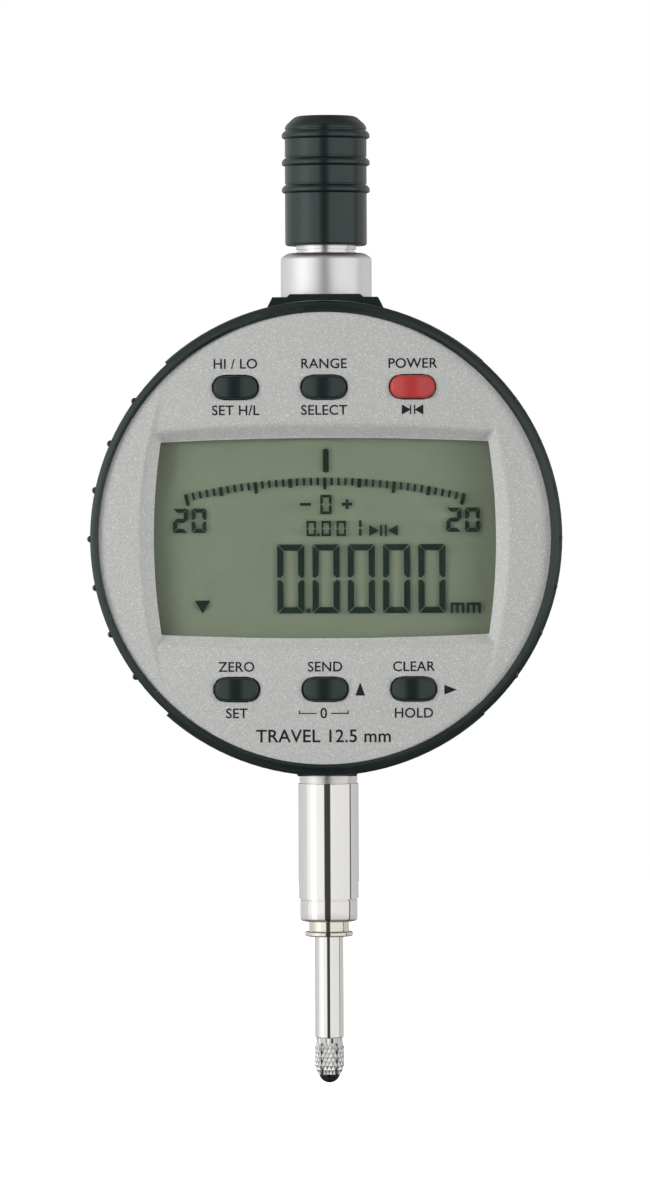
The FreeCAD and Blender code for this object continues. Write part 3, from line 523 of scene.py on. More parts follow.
# %% Contact point with its knurl
BALL_LAP = 0.22
stud_radius, stud_top, neck_radius, neck_length = 1.2, rod_end + 4.9, 1.75, 0.7
barrel_top = rod_end - neck_length
barrel_end = bottom("contact_point") - BALL_LAP
barrel_length = barrel_top - barrel_end
KNURL_ROWS, KNURL_TEETH = 7, 20
KNURL_LOW, KNURL_HIGH = 1.81, 1.99
TOP_SHARE, TOP_DRAW = 0.12, 0.12
END_SHARE, END_DRAW = 0.28, 0.42
row_height = barrel_length / KNURL_ROWS


def barrel_radius(along):
    """The barrel's outline: nearly straight, a little drawn in at its top and more towards the ball."""
    near_top = max(0, TOP_SHARE - along) / TOP_SHARE
    near_end = max(0, (along + END_SHARE - 1) / END_SHARE)
    return KNURL_HIGH - TOP_DRAW * near_top - END_DRAW * near_end ** 1.5


rows = [(barrel_radius(row / KNURL_ROWS), barrel_top - row * row_height) for row in range(KNURL_ROWS + 1)]
point = turned([
    (0, stud_top),
    (stud_radius, stud_top),
    (stud_radius, rod_end),
    (neck_radius, rod_end, 0.05),
    (neck_radius, barrel_top),
    *rows,
    (0, barrel_end),
], segments=2 * KNURL_TEETH)
low_corners = []
for corner in point.verts:
    row = (barrel_top - corner.co.z) / row_height
    radius = math.hypot(corner.co.x, corner.co.y)
    if radius > stud_radius + 0.2 and -0.01 < row < KNURL_ROWS + 0.01 and abs(row - round(row)) < 0.01:
        column = round(math.atan2(corner.co.y, corner.co.x) / (math.pi / KNURL_TEETH))
        if (round(row) + column) % 2:
            shrink = (radius - (KNURL_HIGH - KNURL_LOW)) / radius
            corner.co.x *= shrink
            corner.co.y *= shrink
            low_corners.append(corner)
bmesh.ops.connect_verts(point, verts=low_corners)
finish_piece("knurled_contact_point", point, "plunger", "ground_steel", ["contact_point"], sharp=20)

# %% Painted shade darkens the knurl's grooves
BARREL_TAPER, KNURL_HAZE = 1.2, 0.10
# A darker colour blended into the bottom of the knurl's grooves stands for the shade that falls there: painted
# shade.
GROOVE_SHADE, GROOVE_SHADE_SHARE = (0.10, 0.095, 0.08, 1), 0.20
tree = finishes["ground_steel"].node_tree
shader = tree.nodes["Principled BSDF"]
spot = coordinates(tree)
from_axis = calculate(tree, "SQRT", calculate(tree, "MULTIPLY_ADD", spot["X"], spot["X"],
                                              calculate(tree, "MULTIPLY", spot["Y"], spot["Y"])))
deep = add(tree, "MapRange", Value=from_axis, From_Min=(KNURL_LOW + 0.09) * MM,
           From_Max=(KNURL_LOW + 0.01) * MM, To_Min=0.0, To_Max=GROOVE_SHADE_SHARE).outputs[0]
on_barrel = calculate(tree, "COMPARE", spot["Z"], (barrel_top + barrel_end + BARREL_TAPER) / 2 * MM,
                      (barrel_length - BARREL_TAPER) / 2 * MM)
steel = shader.inputs["Base Color"].links[0].from_socket
feed(tree, shader, Base_Color=blend(tree, calculate(tree, "MULTIPLY", deep, on_barrel), steel, GROOVE_SHADE))
add_haze(tree, shader, on_barrel, KNURL_HAZE)

# %% Ball
ball = bmesh.new()
bmesh.ops.create_uvsphere(ball, u_segments=64, v_segments=32, radius=radius_of("contact_ball"),
                          matrix=Matrix.Translation(middle("contact_ball")))
finish_piece("hard_contact_ball", ball, "plunger", "dark_steel", ["contact_ball"])

# %% [markdown]
# ### Collar, tube and lifting cap
#
# The bright collar closes the top of the body. The cap slides over the tube above it, and its three rings give
# the fingers a hold when they lift the plunger. A fine groove runs above each ring.

# %% Collar and tube
collar_foot, collar_top = bottom("top_collar"), top("top_collar")
tube_foot, tube_top = bottom("guide_tube"), top("guide_tube")
collar_radius, tube_radius, tube_bore = radius_of("top_collar"), 4.0, 2.9
collar_bore = tube_radius + 0.02
finish_piece("bright_collar", turned([
    (collar_bore, collar_foot),
    (collar_radius, collar_foot, 0.1),
    (collar_radius, collar_top - 0.62, 0.3),
    (collar_radius - 0.95, collar_top, 0.25),
    (collar_bore, collar_top, 0.08),
]), "housing", "collar_metal", ["top_collar"])

tube_neck = tube_radius - 0.3
tube_line = collar_top + 0.20
finish_piece("neck_tube", turned([
    (tube_bore, tube_foot),
    (tube_radius, tube_foot),
    (tube_radius, tube_line),
    (tube_neck, tube_line),
    (tube_neck, tube_line + 0.28),
    (tube_radius, tube_line + 0.28, 0.03),
    (tube_radius, tube_top, 0.2),
    (tube_bore, tube_top),
]), "housing", "ground_steel", ["guide_tube"])

# %% Lifting cap with its grip rings
cap_foot, cap_top = bottom("lifting_cap"), top("lifting_cap")
RING_RISE, RING_GROOVE, TOP_RING, RING_PITCH = 0.42, 0.12, 2.7, 3.62
RING_STEPS = [(0, -0.50, 0.05), (RING_RISE, -0.32, 0.14), (RING_RISE, 0.22, 0.20), (0, 0.60, 0.04),
              (-RING_GROOVE, 0.64), (-RING_GROOVE, 0.78), (0, 0.82, 0.03)]
cap_radius = radius_of("lifting_cap") - RING_RISE
cap_bore, cap_roof = 4.3, cap_top - 3.3
insert_radius, insert_top = 3.22, cap_roof + 2.4
cap_steps = [
    (0, insert_top),
    (insert_radius, insert_top),
    (insert_radius, cap_roof),
    (cap_bore, cap_roof),
    (cap_bore, cap_foot, 0.15),
    (cap_radius, cap_foot, 0.38),
]
for index in (2, 1, 0):
    level = cap_top - TOP_RING - index * RING_PITCH
    cap_steps += [(cap_radius + rise, level + height, *size) for rise, height, *size in RING_STEPS]
cap_steps += [
    (cap_radius, cap_top - 1.45, 0.4),
    (cap_radius - 1.45, cap_top - 0.12, 0.45),
    (0, cap_top),
]
finish_piece("ribbed_lifting_cap", turned(cap_steps), "plunger", "case_black", ["lifting_cap"])

# %% [markdown]
# ### Return spring
#
# The spring sits between the plunger's carrier and the case, so it gets shorter as the plunger is lifted. Here
# it is a copy of the CAD coil.

# %% A copy of the coil
coil = bmesh.new()
coil.from_mesh(bpy.data.objects["return_spring"].data)
bmesh.ops.scale(coil, vec=(1 / MM, 1 / MM, 1 / MM), verts=coil.verts)
coiled = finish_piece("coiled_return_spring", coil, "housing", "spring_steel", ["return_spring"])
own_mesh(coiled)

# %% [markdown]
# ### Screw heads on the back
#
# Four countersunk screws hold the rear cover. In the CAD a thin film covers them, so each gets a face here, a
# hair proud of the cover. Its socket starts as a round hole, whose corners move outwards to make six flats.

# %% Screw faces with hexagon sockets
HEAD_RADIUS, SOCKET_RADIUS = 1.9, 0.75
head_front, head_back = back("rear_cover") - 0.5, back("rear_cover") + 0.03
screw_reach = corners_of("rear_cover_screws")[1].x - HEAD_RADIUS
QUARTERS = ((1, 1), (-1, 1), (-1, -1), (1, -1))
for index, (sideways, upwards) in enumerate(QUARTERS):
    head = turned([
        (SOCKET_RADIUS, head_front),
        (HEAD_RADIUS, head_front),
        (HEAD_RADIUS, head_back, 0.1),
        (SOCKET_RADIUS, head_back),
    ], "Y", segments=48)
    for corner in head.verts:
        if math.hypot(corner.co.x, corner.co.z) < SOCKET_RADIUS + 0.01:
            around = math.atan2(corner.co.z, corner.co.x) % (math.pi / 3)
            corner.co.x /= math.cos(around - math.pi / 6)
            corner.co.z /= math.cos(around - math.pi / 6)
    place = (sideways * screw_reach, 0, body_height + upwards * screw_reach)
    bmesh.ops.translate(head, vec=place, verts=head.verts)
    finish_piece(f"cover_screw_head_{index + 1}", head, "housing", "screw_steel")

# %% [markdown]
# ## Face plate
#
# The face isn't flat. Its middle band lies lower than its sides, between two long arcs, and the edges round the
# window are soft. Such a surface is easiest as a depth at each place. The plate starts as a flat sheet with its
# holes. Planes cut it into cells, which are smallest where the depth changes, and it is extruded. Then each
# vertex on its front moves back by the depth there.

# %% How deep the face lies at each place
plate_depth = front("window_lens") - face_front
LENS_LAP = 1.3
window_corner = corners_of("window_lens")[1] - centre
window_half_width, window_half_height = window_corner.x - LENS_LAP, window_corner.z - LENS_LAP
SIDE_BOW, END_BOW = 0.95, 0.525
BAND_MARGIN, BAND_RADIUS, BAND_HALF_HEIGHT, BAND_DEPTH = 1.8, 62.4, 20.5, 0.8
BEVEL_SIDE, BEVEL_END, BEVEL_END_TAPER = BAND_MARGIN + 0.3, 2.3, 0.45
BEVEL_BLEND, ARC_BLEND, FRONT_BLEND, BLEND_LIFT = 0.3, 0.35, 0.25, 0.016
MIN_THICKNESS = 0.08
band_half_width = window_half_width + BAND_MARGIN


def window_side(z):
    """Half the window's width at a height."""
    return window_half_width - SIDE_BOW * (z / (window_half_height - END_BOW)) ** 2


def window_end(x):
    """Half the window's height at a place across it."""
    return window_half_height - END_BOW * (x / (window_half_width - SIDE_BOW)) ** 2


def soft_max(a, b, blend):
    """The larger value, with a round where the two meet."""
    meet = max(blend - abs(a - b), 0) / blend
    return max(a, b) + meet * meet * blend / 4


def depth_at(x, z):
    """How far the face lies behind its front, from x and z about the body's centre."""
    arc = band_half_width - BAND_RADIUS + math.sqrt(BAND_RADIUS ** 2 - z * z)
    from_arc = (arc - abs(x)) * plate_depth / BAND_MARGIN
    band = BAND_DEPTH * max(0, 1 - (z / BAND_HALF_HEIGHT) ** 2)
    bevel_end = BEVEL_END - BEVEL_END_TAPER * min(1, (x / window_half_width) ** 2)
    beside, beyond = abs(x) - window_side(z), abs(z) - window_end(x)
    bevel = plate_depth * (1 - max(beside / BEVEL_SIDE, beyond / bevel_end, 0))
    hollow = -soft_max(-soft_max(band, bevel, BEVEL_BLEND), -from_arc, ARC_BLEND)
    return max(0, min(soft_max(0, hollow, FRONT_BLEND) - BLEND_LIFT, plate_depth - MIN_THICKNESS))


# %% The sheet with its holes
def spread_of(low, high, pitch):
    """Even places from low to high, about a pitch apart."""
    count = max(1, round((high - low) / pitch))
    return [low + (high - low) * index / count for index in range(count + 1)]


def ring_of(shape, points):
    """Join places on the face to a closed line of edges."""
    corners = [shape.verts.new((x, face_front, body_height + z)) for x, z in points]
    return [shape.edges.new(pair) for pair in zip(corners, corners[1:] + corners[:1])]


HOLE_SIDES = 48


def stadium(x, z, half_width, half_height):
    """A circle whose halves are drawn apart, about a place on the face."""
    points = []
    for index in range(HOLE_SIDES):
        turn = math.tau * (index + 0.5) / HOLE_SIDES
        along = math.copysign(half_width - half_height, math.cos(turn))
        points.append((x + along + half_height * math.cos(turn), z + half_height * math.sin(turn)))
    return points


KEY_GAP, KEY_FLANGE = 0.17, 0.6
WINDOW_STEP, RIM_TURN = 0.5, 0.035
side, end = window_half_width - SIDE_BOW, window_half_height - END_BOW
over, up = spread_of(-side, side, WINDOW_STEP), spread_of(-end, end, WINDOW_STEP)
window = [(x, window_end(x)) for x in over[:-1]] + [(window_side(z), z) for z in up[:0:-1]]
window += [(x, -window_end(x)) for x in over[:0:-1]] + [(-window_side(z), z) for z in up[:-1]]
face_radius = radius_of("face_plate")
rim = [(face_radius * math.cos(turn), face_radius * math.sin(turn))
       for turn in spread_of(0, math.tau, RIM_TURN)[:-1]]
key_nodes = [name for name in frame["nodes"] if name.startswith("button_") and "mat" not in name]
plate = bmesh.new()
lines = ring_of(plate, rim) + ring_of(plate, window)
for name in key_nodes:
    low, high = corners_of(name)
    half = (high - low) / 2
    lines += ring_of(plate, stadium((low.x + high.x) / 2, (low.z + high.z) / 2 - body_height,
                                    half.x - KEY_FLANGE + KEY_GAP, half.z - KEY_FLANGE + KEY_GAP))
bmesh.ops.triangle_fill(plate, use_beauty=True, edges=lines)

# %% Cells: close together by the window's sides and ends, and along the arcs
CELL, END_CELL, FINE_CELL, CELL_STEP = 0.9, 0.8, 0.2, 0.2
FINE_FROM_X, FINE_FROM_Z, FINE_TO_Z = 16.7, 11.7, 16.8
fine_to_x = band_half_width + 0.4
wide_x, wide_z = FINE_FROM_X - CELL_STEP, FINE_FROM_Z - CELL_STEP
outer_x, outer_z = fine_to_x + CELL_STEP, FINE_TO_Z + CELL_STEP
across = spread_of(-wide_x, wide_x, CELL) + spread_of(outer_x, face_radius, CELL)
across += spread_of(-face_radius, -outer_x, CELL)
along = spread_of(-wide_z, wide_z, CELL) + spread_of(outer_z, face_radius, END_CELL)
along += spread_of(-face_radius, -outer_z, END_CELL)
for sign in (-1, 1):
    across += [sign * x for x in spread_of(FINE_FROM_X, fine_to_x, FINE_CELL)]
    along += [sign * z for z in spread_of(FINE_FROM_Z, FINE_TO_Z, FINE_CELL)]
for places, normal in ((across, (1, 0, 0)), (along, (0, 0, 1))):
    for distance in places:
        point = Vector(normal) * distance + Vector((0, 0, body_height))
        bmesh.ops.bisect_plane(plate, geom=plate.verts[:] + plate.edges[:] + plate.faces[:], dist=0.0001,
                               plane_co=point, plane_no=normal)
slanted = []
for edge in plate.edges:
    step = edge.verts[0].co - edge.verts[1].co
    if len(edge.link_faces) == 2 and abs(step.x) > 0.001 and abs(step.z) > 0.001:
        slanted.append(edge)
bmesh.ops.dissolve_edges(plate, edges=slanted, use_verts=True)

# %% The plate's thickness, its relief and the four posts behind it
behind = set(extruded(plate, plate.faces[:]))
for corner in plate.verts:
    if corner in behind:
        corner.co.y = face_front + plate_depth
    else:
        corner.co.y = face_front + depth_at(corner.co.x, corner.co.z - body_height)
POST_REACH, POST_RADIUS = 26.2 / math.sqrt(2), 2.1
FACE_READER = Matrix.Rotation(math.pi / 2, 4, "X")
post_length = back("face_plate") - face_front - plate_depth
for sideways, upwards in QUARTERS:
    place = (sideways * POST_REACH, back("face_plate") - post_length / 2, body_height + upwards * POST_REACH)
    bmesh.ops.create_cone(plate, cap_ends=True, segments=24, radius1=POST_RADIUS, radius2=POST_RADIUS,
                          depth=post_length, matrix=Matrix.Translation(place) @ FACE_READER)
finish_piece("contoured_face_plate", plate, "display", "face_silver", ["face_plate"], sharp=40)

# %% [markdown]
# ## Keys
#
# Each key is a stadium: a circle whose halves are drawn apart. Its face is extruded backwards, and the rim is
# bevelled. To crown the face, planes cut it into strips, and each vertex moves back by its place across the key.

# %% Key shape
KEY_CROWN, KEY_ROUND, KEY_DEPTH = 0.55, 0.38, 2.6
KEY_SIDES, KEY_CUTS = 56, 10


def key(node):
    """A crowned key at the place of its CAD node."""
    low, high = corners_of(node)
    half_width = (high.x - low.x) / 2 - KEY_FLANGE
    half_height = (high.z - low.z) / 2 - KEY_FLANGE
    spot = (low + high) / 2
    shape = bmesh.new()
    bmesh.ops.create_circle(shape, cap_ends=True, segments=KEY_SIDES, radius=half_height)
    bmesh.ops.rotate(shape, matrix=Matrix.Rotation(math.pi / KEY_SIDES, 3, "Z"), verts=shape.verts)
    for corner in shape.verts:
        corner.co.x += math.copysign(half_width - half_height, corner.co.x)
    bmesh.ops.transform(shape, matrix=FACE_READER, verts=shape.verts)
    bmesh.ops.translate(shape, vec=(0, KEY_DEPTH, 0), verts=extruded(shape, shape.faces[:]))
    rim = [edge for edge in shape.edges if all(abs(end.co.y) < 0.001 for end in edge.verts)]
    soften(shape, rim, KEY_ROUND, 5)
    for index in range(-KEY_CUTS, KEY_CUTS + 1):
        bmesh.ops.bisect_plane(shape, geom=shape.verts[:] + shape.edges[:] + shape.faces[:],
                               plane_co=(index / (KEY_CUTS + 1) * half_width, 0, 0), plane_no=(1, 0, 0))
    for corner in shape.verts:
        if corner.co.y < KEY_ROUND + 0.01:
            corner.co.y += KEY_CROWN * (corner.co.x / half_width) ** 2
    bmesh.ops.translate(shape, vec=(spot.x, low.y, spot.z), verts=shape.verts)
    return shape


for name in key_nodes:
    finish_piece(name.replace("button", "key"), key(name), name + "_body", slot_of[name], [name], 50)

# %% [markdown]
# ## The panel
#
# The liquid crystal switches small areas of glass dark. They lie a little in front of the reflector, so each
# segment throws a soft shadow, which makes the display look like one. Here the reflector is a sheet, and the
# segments are thin plates in front of it.

# %% The sheet behind the segments
SHEET_SUNK, SHEET_ROUND, SEGMENT_SUNK = 0.34, 0.08, 0.06
panel_low, panel_high = corners_of("lcd_panel")
segment_plane = panel_low.y + SEGMENT_SUNK
panel_low.y += SHEET_SUNK
panel = bmesh.new()
bmesh.ops.create_cube(panel, size=1.0, matrix=Matrix.Translation((panel_low + panel_high) / 2)
                      @ Matrix.Diagonal((*(panel_high - panel_low), 1)))
soften(panel, panel.edges[:], SHEET_ROUND, 2)
finish_piece("display_panel", panel, "display", "panel_green", ["lcd_panel"])

# %% [markdown]
# ### Segments
#
# Every figure is made of flat strokes, and a digit is a choice of seven with mitred ends. Each stroke is a few
# vertices, filled and given a small thickness.

# %% Strokes and digits
SEGMENT_THICKNESS = 0.04
segments = bmesh.new()


def flat_area(points):
    """A thin plate from points of x and z about the body's centre."""
    corners = [segments.verts.new((x, segment_plane, body_height + z)) for x, z in points]
    moved = extruded(segments, [segments.faces.new(corners)])
    bmesh.ops.translate(segments, vec=(0, SEGMENT_THICKNESS, 0), verts=moved)


def stroke(x, z, length, width, upright, mitre=0.5):
    """A bar about a middle point. Its ends are cut to points by the mitre's share of the width."""
    half, side, cut = length / 2, width / 2, width * mitre
    outline = [(cut - half, side), (half - cut, side), (half - cut, -side), (cut - half, -side)]
    if mitre:
        outline = [(-half, 0), *outline[:2], (half, 0), *outline[2:]]
    flat_area([(x + v, z + u) if upright else (x + u, z + v) for u, v in outline])


LIT = {"0": "abcdef", "2": "abged"}
OUTER_CUT, TIP_CUT, INNER_CUT = 0.2, 0.45, 0.55


def digit(character, left, foot, width, height, pen, split):
    """A seven-segment digit: mitred strokes that run round two squares."""
    right, head = left + width, foot + height
    mid = foot + height / 2
    for name in LIT[character]:
        if name in "ad":
            edge, inward = (head, -1) if name == "a" else (foot, 1)
            low = [(left + split, edge), (right - split, edge)]
            inner = edge + inward * pen
            flat_area(low + [(right - pen - split, inner), (left + pen + split, inner)])
        elif name == "g":
            stroke((left + right) / 2, mid, width - 2 * split - pen / 2, pen, False)
        else:
            edge, inward = (left, 1) if name in "ef" else (right, -1)
            end, along = (head, -1) if name in "bf" else (foot, 1)
            inner = edge + inward * pen
            flat_area([
                (edge, end + along * split),
                (edge, mid - along * (split + pen * OUTER_CUT)),
                (edge + inward * pen * TIP_CUT, mid - along * split),
                (inner, mid - along * (split + pen * INNER_CUT)),
                (inner, end + along * (pen + split)),
            ])


# %% [markdown]
# ### What the display shows
#
# The reading is zero. Above it a bar shows the same on a curved scale of plain numbers, from minus 20 to 20.

# %% The reading
def number(characters, left, pitch, *style):
    """A row of digits. The style is their foot, width, height, pen and split."""
    for index, character in enumerate(characters):
        digit(character, left + index * pitch, *style)


number("00000", -6.30, 4.645, -9.90, 3.57, 9.08, 0.82, 0.10)
flat_area([(-2.48, -9.82), (-1.93, -9.82), (-1.93, -9.28), (-2.48, -9.28)])

# %% The curved scale and its bar
ARC_RADIUS = 80.0
ARC_TOP = 7.95
TICK_PITCH = 0.917
LONG_TICK, MIDDLE_TICK, SHORT_TICK = (1.55, 0.46), (1.2, 0.50), (0.98, 0.34)
for index in range(-20, 21):
    lean = math.asin(index * TICK_PITCH / ARC_RADIUS)
    length, width = LONG_TICK if index % 10 == 0 else MIDDLE_TICK if index % 5 == 0 else SHORT_TICK
    foot_radius = ARC_RADIUS - length
    across, along = math.cos(lean) * width / 2, math.sin(lean) * width / 2
    flat_area([(radius * math.sin(lean) + side * across,
                ARC_TOP - ARC_RADIUS + radius * math.cos(lean) - side * along)
               for radius, side in ((ARC_RADIUS, -1), (ARC_RADIUS, 1), (foot_radius, 1), (foot_radius, -1))])
stroke(0.16, 10.2, 3.25, 0.78, True, 0.25)

# %% The small figures: the scale's ends, its zero between minus and plus, and the smallest step
for left in (-20.0, 16.0):
    number("20", left, 2.45, 0.75, 1.95, 3.2, 0.54, 0.07)
number("0", -0.60, 0, 3.15, 1.50, 2.55, 0.36, 0.02)
SIGN_PEN, PLUS_X = 0.38, 2.93
for x, z, length, upright in ((-2.55, 4.45, 1.45, False), (PLUS_X, 4.45, 1.40, False),
                              (PLUS_X, 4.87, 0.42, True), (PLUS_X, 4.03, 0.42, True)):
    stroke(x, z, length, SIGN_PEN, upright, 0)
number("000", -2.42, 1.97, 0.25, 1.25, 2.02, 0.29, 0.0)
stroke(-0.86, 0.42, 0.34, 0.34, False, 0)
for z, length in ((0.75, 0.90), (1.885, 0.93)):
    stroke(4.66, z, length, SIGN_PEN, True, 0)

# %% The marks: two arrowheads that meet, and the pointer at the lower left
MEET_X, MEET_Z = 7.70, 0.97
for side in (-1, 1):
    base = MEET_X + side * 1.88
    flat_area([(base, MEET_Z + 0.75), (base, MEET_Z - 0.75), (MEET_X + side * 0.60, MEET_Z)])
    stroke(MEET_X + side * 0.32, MEET_Z, 1.5, 0.28, True, 0)
flat_area([(-17.15, -8.15), (-15.15, -8.15), (-16.15, -9.90)])

# %% The unit, drawn with the same strokes
UNIT_LEFT, UNIT_FOOT, UNIT_HEIGHT, UNIT_PEN = 16.65, -9.95, 1.40, 0.32
LETTER_PITCH, LEG_PITCH = 2.15, 0.76
for letter in (0, 1):
    left = UNIT_LEFT + letter * LETTER_PITCH
    for leg in range(3):
        stroke(left + leg * LEG_PITCH, UNIT_FOOT + UNIT_HEIGHT / 2, UNIT_HEIGHT, UNIT_PEN, True, 0)
    for arch in (0.5, 1.5):
        stroke(left + arch * LEG_PITCH, UNIT_FOOT + UNIT_HEIGHT - UNIT_PEN / 2, LEG_PITCH - UNIT_PEN, UNIT_PEN,
               False, 0)
finish_piece("lit_segments", segments, "display", "panel_green", sharp=30, look="segment_ink")

# %% [markdown]
# ## Printing on the face
#
# The face carries the plain words that a reader needs to find a key. The ink is screen printed, so it is a
# layer of almost no thickness that follows the face. Text is made a mesh first, and each vertex then takes the
# face's depth at its place.

# %% Letters that lie on the face
INK_PROUD, INK_SUNK = 0.02, 0.03
CAP_HEIGHT = 1.27
BOLDNESS, SPACING = 0.011, 1.03


def text_mesh(words, size):
    """A flat word, drawn in x and y about its own middle."""
    curve = bpy.data.curves.new("word", "FONT")
    curve.body = words
    curve.size = size
    curve.align_x = "CENTER"
    curve.offset = BOLDNESS * size
    curve.resolution_u = 4
    curve.space_character = SPACING
    thing = put_in_scene("word", curve)
    bpy.context.view_layer.update()
    mesh = bpy.data.meshes.new_from_object(thing.evaluated_get(bpy.context.evaluated_depsgraph_get()))
    bpy.data.objects.remove(thing)
    return mesh


LETTER_SIZE = CAP_HEIGHT / max(corner.co.y for corner in text_mesh("H", 1.0).vertices)
ink = bmesh.new()


def print_shape(flat, x, z):
    """Lay a flat bmesh of x and y onto the face, with its origin at a place, and give it thickness."""
    place = Matrix.Translation((x, 0, body_height + z))
    bmesh.ops.transform(flat, matrix=place @ FACE_READER, verts=flat.verts)
    bmesh.ops.remove_doubles(flat, verts=flat.verts, dist=MERGE)
    behind = set(extruded(flat, flat.faces[:]))
    for corner in flat.verts:
        depth = depth_at(corner.co.x, corner.co.z - body_height)
        corner.co.y = face_front + depth + (INK_SUNK if corner in behind else -INK_PROUD)
    holder = bpy.data.meshes.new("printed")
    flat.to_mesh(holder)
    flat.free()
    ink.from_mesh(holder)
    bpy.data.meshes.remove(holder)


def print_words(words, x, z, scale=1):
    """Print a word whose capitals are centred on a height above the body's centre."""
    flat = bmesh.new()
    flat.from_mesh(text_mesh(words, LETTER_SIZE * scale))
    print_shape(flat, x, z - CAP_HEIGHT * scale / 2)


def print_triangle(x, z, size, turn, stretch=1):
    """A small solid triangle, turned by an angle in degrees. The stretch is across it before the turn."""
    flat = bmesh.new()
    bmesh.ops.create_circle(flat, cap_ends=True, segments=3, radius=size)
    bmesh.ops.scale(flat, vec=(stretch, 1, 1), verts=flat.verts)
    bmesh.ops.rotate(flat, matrix=Matrix.Rotation(math.radians(turn), 3, "Z"), verts=flat.verts)
    print_shape(flat, x, z)


def print_bar(x, z, width, height):
    flat = bmesh.new()
    bmesh.ops.create_grid(flat, x_segments=1, y_segments=1, size=0.5)
    bmesh.ops.scale(flat, vec=(width, height, 1), verts=flat.verts)
    print_shape(flat, x, z)


# %% [markdown]
# The words are everyday ones for what such keys do. The line at the foot gives the measuring range in plain
# figures.

# %% Words, marks and the range
COLUMN, OUTER, INNER, FOOT_X = 11.63, 22.95, 16.85, -0.2
for words, x, z, *scale in (
        ("HI / LO", -COLUMN, OUTER), ("SET H/L", -COLUMN, INNER), ("RANGE", 0, OUTER), ("SELECT", 0, INNER),
        ("POWER", COLUMN, OUTER), ("ZERO", -COLUMN, -INNER), ("SET", -COLUMN, -OUTER), ("SEND", 0, -INNER),
        ("CLEAR", COLUMN, -INNER), ("HOLD", COLUMN, -OUTER),
        ("TRAVEL 12.5 mm", FOOT_X, -25.95, 1.3), ("0", FOOT_X, -22.95, 1.05)):
    print_words(words, x, z, *scale)
for side in (-1, 1):
    print_bar(side * 2.1 + FOOT_X, -23.0, 2.3, 0.15)
    print_bar(side * 3.2 + FOOT_X, -22.85, 0.15, 0.45)
print_triangle(4.6, -20.1, 1.15, 0, 0.65)
print_triangle(16.2, -19.95, 1.1, -90, 0.68)
for side in (-1, 1):
    print_triangle(COLUMN + side * 1.02, INNER, 0.78, side * 90)
    print_bar(COLUMN + side * 0.27, INNER, 0.17, 1.2)
finish_piece("printed_words", ink, "display", "face_silver", sharp=30, look="print_ink")

# %% [markdown]
# ## Studio
#
# The object stands before a white background in soft light from both sides. The world is white to the camera.
# In reflections it is a ring of panels, brighter at the left than at the right, with dark gaps between them. The
# gap behind the camera gives polished steel the narrow dark band down its middle, and a slot at the right the
# thin line beside it. Above and below, it is darker. The world lights surfaces only weakly, so that the lamps
# shape the object.

# %% World: the share of a turn round the object, from behind it over its left, and the brightness there
FILL = 0.40
PANELS = [
    (0.0, 0.20), (0.035, 0.20), (0.060, 0.66), (0.144, 0.66), (0.244, 0.74), (0.256, 0.98), (0.375, 1.0),
    (0.453, 0.95), (0.461, 0.06), (0.519, 0.05), (0.528, 0.90), (0.575, 0.86), (0.69, 0.84), (0.75, 0.84),
    (0.754, 0.06), (0.767, 0.06), (0.771, 0.62), (0.883, 0.58), (0.94, 0.58), (0.965, 0.20), (1.0, 0.20),
]
world = bpy.data.worlds.new("studio")
bpy.context.scene.world = world
world.use_nodes = True
tree = world.node_tree
paths = add(tree, "LightPath").outputs
direction = coordinates(tree, "Generated")
angle = calculate(tree, "ARCTAN2", direction["X"], calculate(tree, "MULTIPLY", direction["Y"], -1.0))
share = calculate(tree, "MULTIPLY_ADD", angle, 1 / math.tau, 0.5)
ramp = add(tree, "ValToRGB", Fac=share)
stops = ramp.color_ramp.elements
for place, level in PANELS[1:-1]:
    stops.new(place)
for stop, (place, level) in zip(stops, PANELS):
    stop.color = (level, level, level, 1)
below = add(tree, "MapRange", Value=direction["Z"], From_Min=-0.10, From_Max=-0.60, To_Min=1.0, To_Max=0.22)
above = add(tree, "MapRange", Value=direction["Z"], From_Min=0.20, From_Max=0.85, To_Min=1.0, To_Max=0.35)
fading = calculate(tree, "MULTIPLY", below.outputs[0], above.outputs[0])
mirrored = calculate(tree, "MAXIMUM", paths["Is Glossy Ray"], paths["Is Transmission Ray"])
shown = calculate(tree, "MULTIPLY", mirrored, ramp.outputs["Color"])
unseen = calculate(tree, "SUBTRACT", 1.0, calculate(tree, "MAXIMUM", paths["Is Camera Ray"], mirrored))
filled = calculate(tree, "MULTIPLY_ADD", unseen, FILL, shown)
total = calculate(tree, "MULTIPLY_ADD", filled, fading, paths["Is Camera Ray"])
feed(tree, tree.nodes["Background"], Color=(1, 1, 1, 1), Strength=total)

# %% Floor
FLOOR_HEIGHT, FLOOR_RADIUS, FLOOR_LIFT = -0.055, 0.9, 0.70
floor_mesh = bpy.data.meshes.new("floor")
shape = bmesh.new()
bmesh.ops.create_circle(shape, cap_ends=True, segments=96, radius=FLOOR_RADIUS,
                        matrix=Matrix.Translation((0, 0, FLOOR_HEIGHT)))
shape.to_mesh(floor_mesh)
shape.free()
floor = put_in_scene("floor", floor_mesh)
tree, shader = new_material("floor")
lifted = calculate(tree, "MULTIPLY", add(tree, "LightPath").outputs["Is Camera Ray"], FLOOR_LIFT)
feed(tree, shader, Base_Color=(0.82, 0.82, 0.82, 1), Roughness=0.9, Specular_IOR_Level=0.0,
     Emission_Color=(1, 1, 1, 1), Emission_Strength=lifted)
floor_mesh.materials.append(finishes["floor"])
floor.visible_glossy = False
floor.visible_diffuse = False


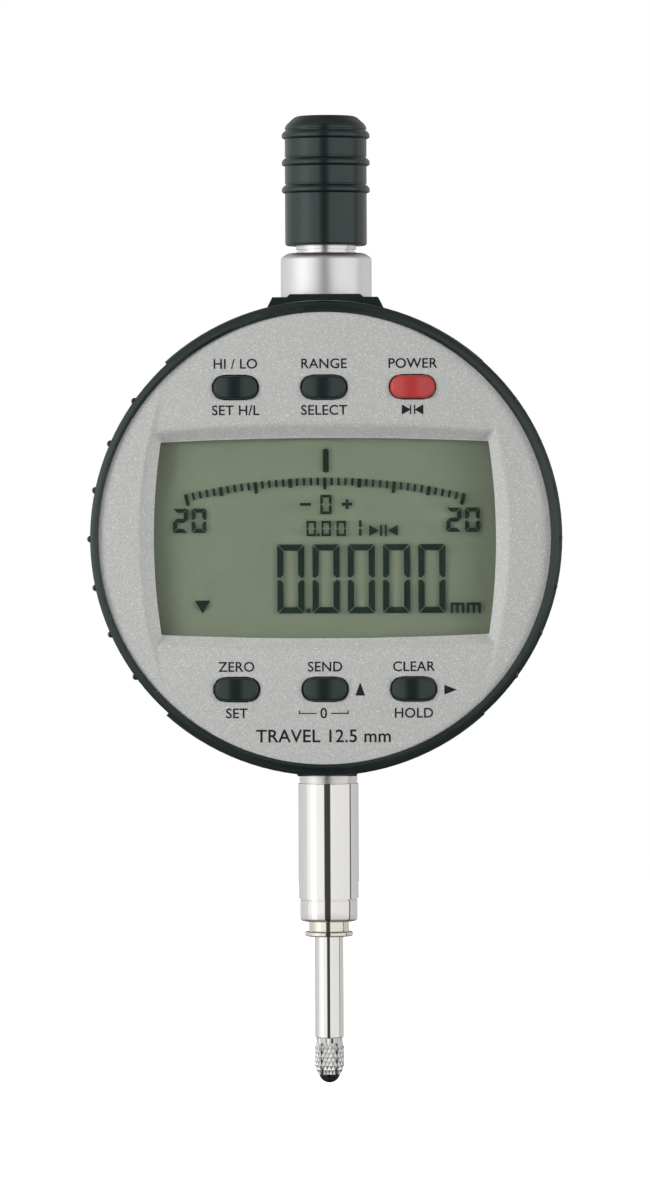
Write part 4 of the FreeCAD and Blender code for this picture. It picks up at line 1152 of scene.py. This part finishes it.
# %% Lamps: a near one at the left, a far one at the right and weak ones above and behind
def lamp(name, energy, size, azimuth, elevation, distance):
    """A square soft lamp, aimed at the body's centre, that nothing mirrors."""
    light = bpy.data.lights.new(name, "AREA")
    light.energy = energy
    light.size = size
    thing = put_in_scene(name, light)
    turn, rise = math.radians(azimuth), math.radians(elevation)
    away = Vector((math.sin(turn) * math.cos(rise), -math.cos(turn) * math.cos(rise), math.sin(rise)))
    thing.location = Vector((0, 0, body_height * MM)) + away * distance
    thing.rotation_euler = (-away).to_track_quat("-Z", "Y").to_euler()
    thing.visible_glossy = False
    return thing


for name, level, size, azimuth, elevation, distance in (
        ("left_lamp", 0.85, 0.14, -56, 7, 0.46), ("right_lamp", 0.60, 0.35, 63, 3, 1.2),
        ("top_lamp", 0.15, 0.50, 170, 70, 1.0), ("back_lamp", 0.60, 0.80, 170, 25, 1.2)):
    lamp(name, level * math.pi ** 2 * distance ** 2, size, azimuth, elevation, distance)

# %% A tall panel at the left, seen only in what mirrors it
PANEL_GLOW, PANEL_WIDTH, PANEL_HEIGHT = 0.25, 0.45, 1.3
left_panel = lamp("left_panel", PANEL_GLOW * math.pi * PANEL_WIDTH * PANEL_HEIGHT, PANEL_WIDTH, -60, 0, 1.0)
left_panel.data.shape = "RECTANGLE"
left_panel.data.size_y = PANEL_HEIGHT
left_panel.visible_glossy = True
left_panel.visible_diffuse = False

# %% [markdown]
# ## Camera
#
# The photograph was taken with a long lens, nearly level with the object, hardly turned to the side and a trace
# out of upright.

# %% Camera
AZIMUTH, ELEVATION, ROLL = math.radians(1.35), math.radians(0.86), math.radians(-0.25)
DISTANCE, AIM_X, AIM_Z = 0.9525, 0.00003, 0.03204
camera_data = bpy.data.cameras.new("camera")
camera_data.sensor_width = 36
camera_data.lens = 214
camera_data.clip_start = 0.05
camera = put_in_scene("camera", camera_data)
turning = Matrix.Rotation(AZIMUTH, 3, "Z") @ Matrix.Rotation(math.pi / 2 - ELEVATION, 3, "X")
aim = Vector((AIM_X, face_front * MM, AIM_Z))
camera.location = aim + turning @ Vector((0, 0, DISTANCE + face_front * MM))
camera.rotation_euler = (turning @ Matrix.Rotation(ROLL, 3, "Z")).to_euler()
bpy.context.scene.camera = camera
bpy.context.scene.view_settings.view_transform = "Standard"
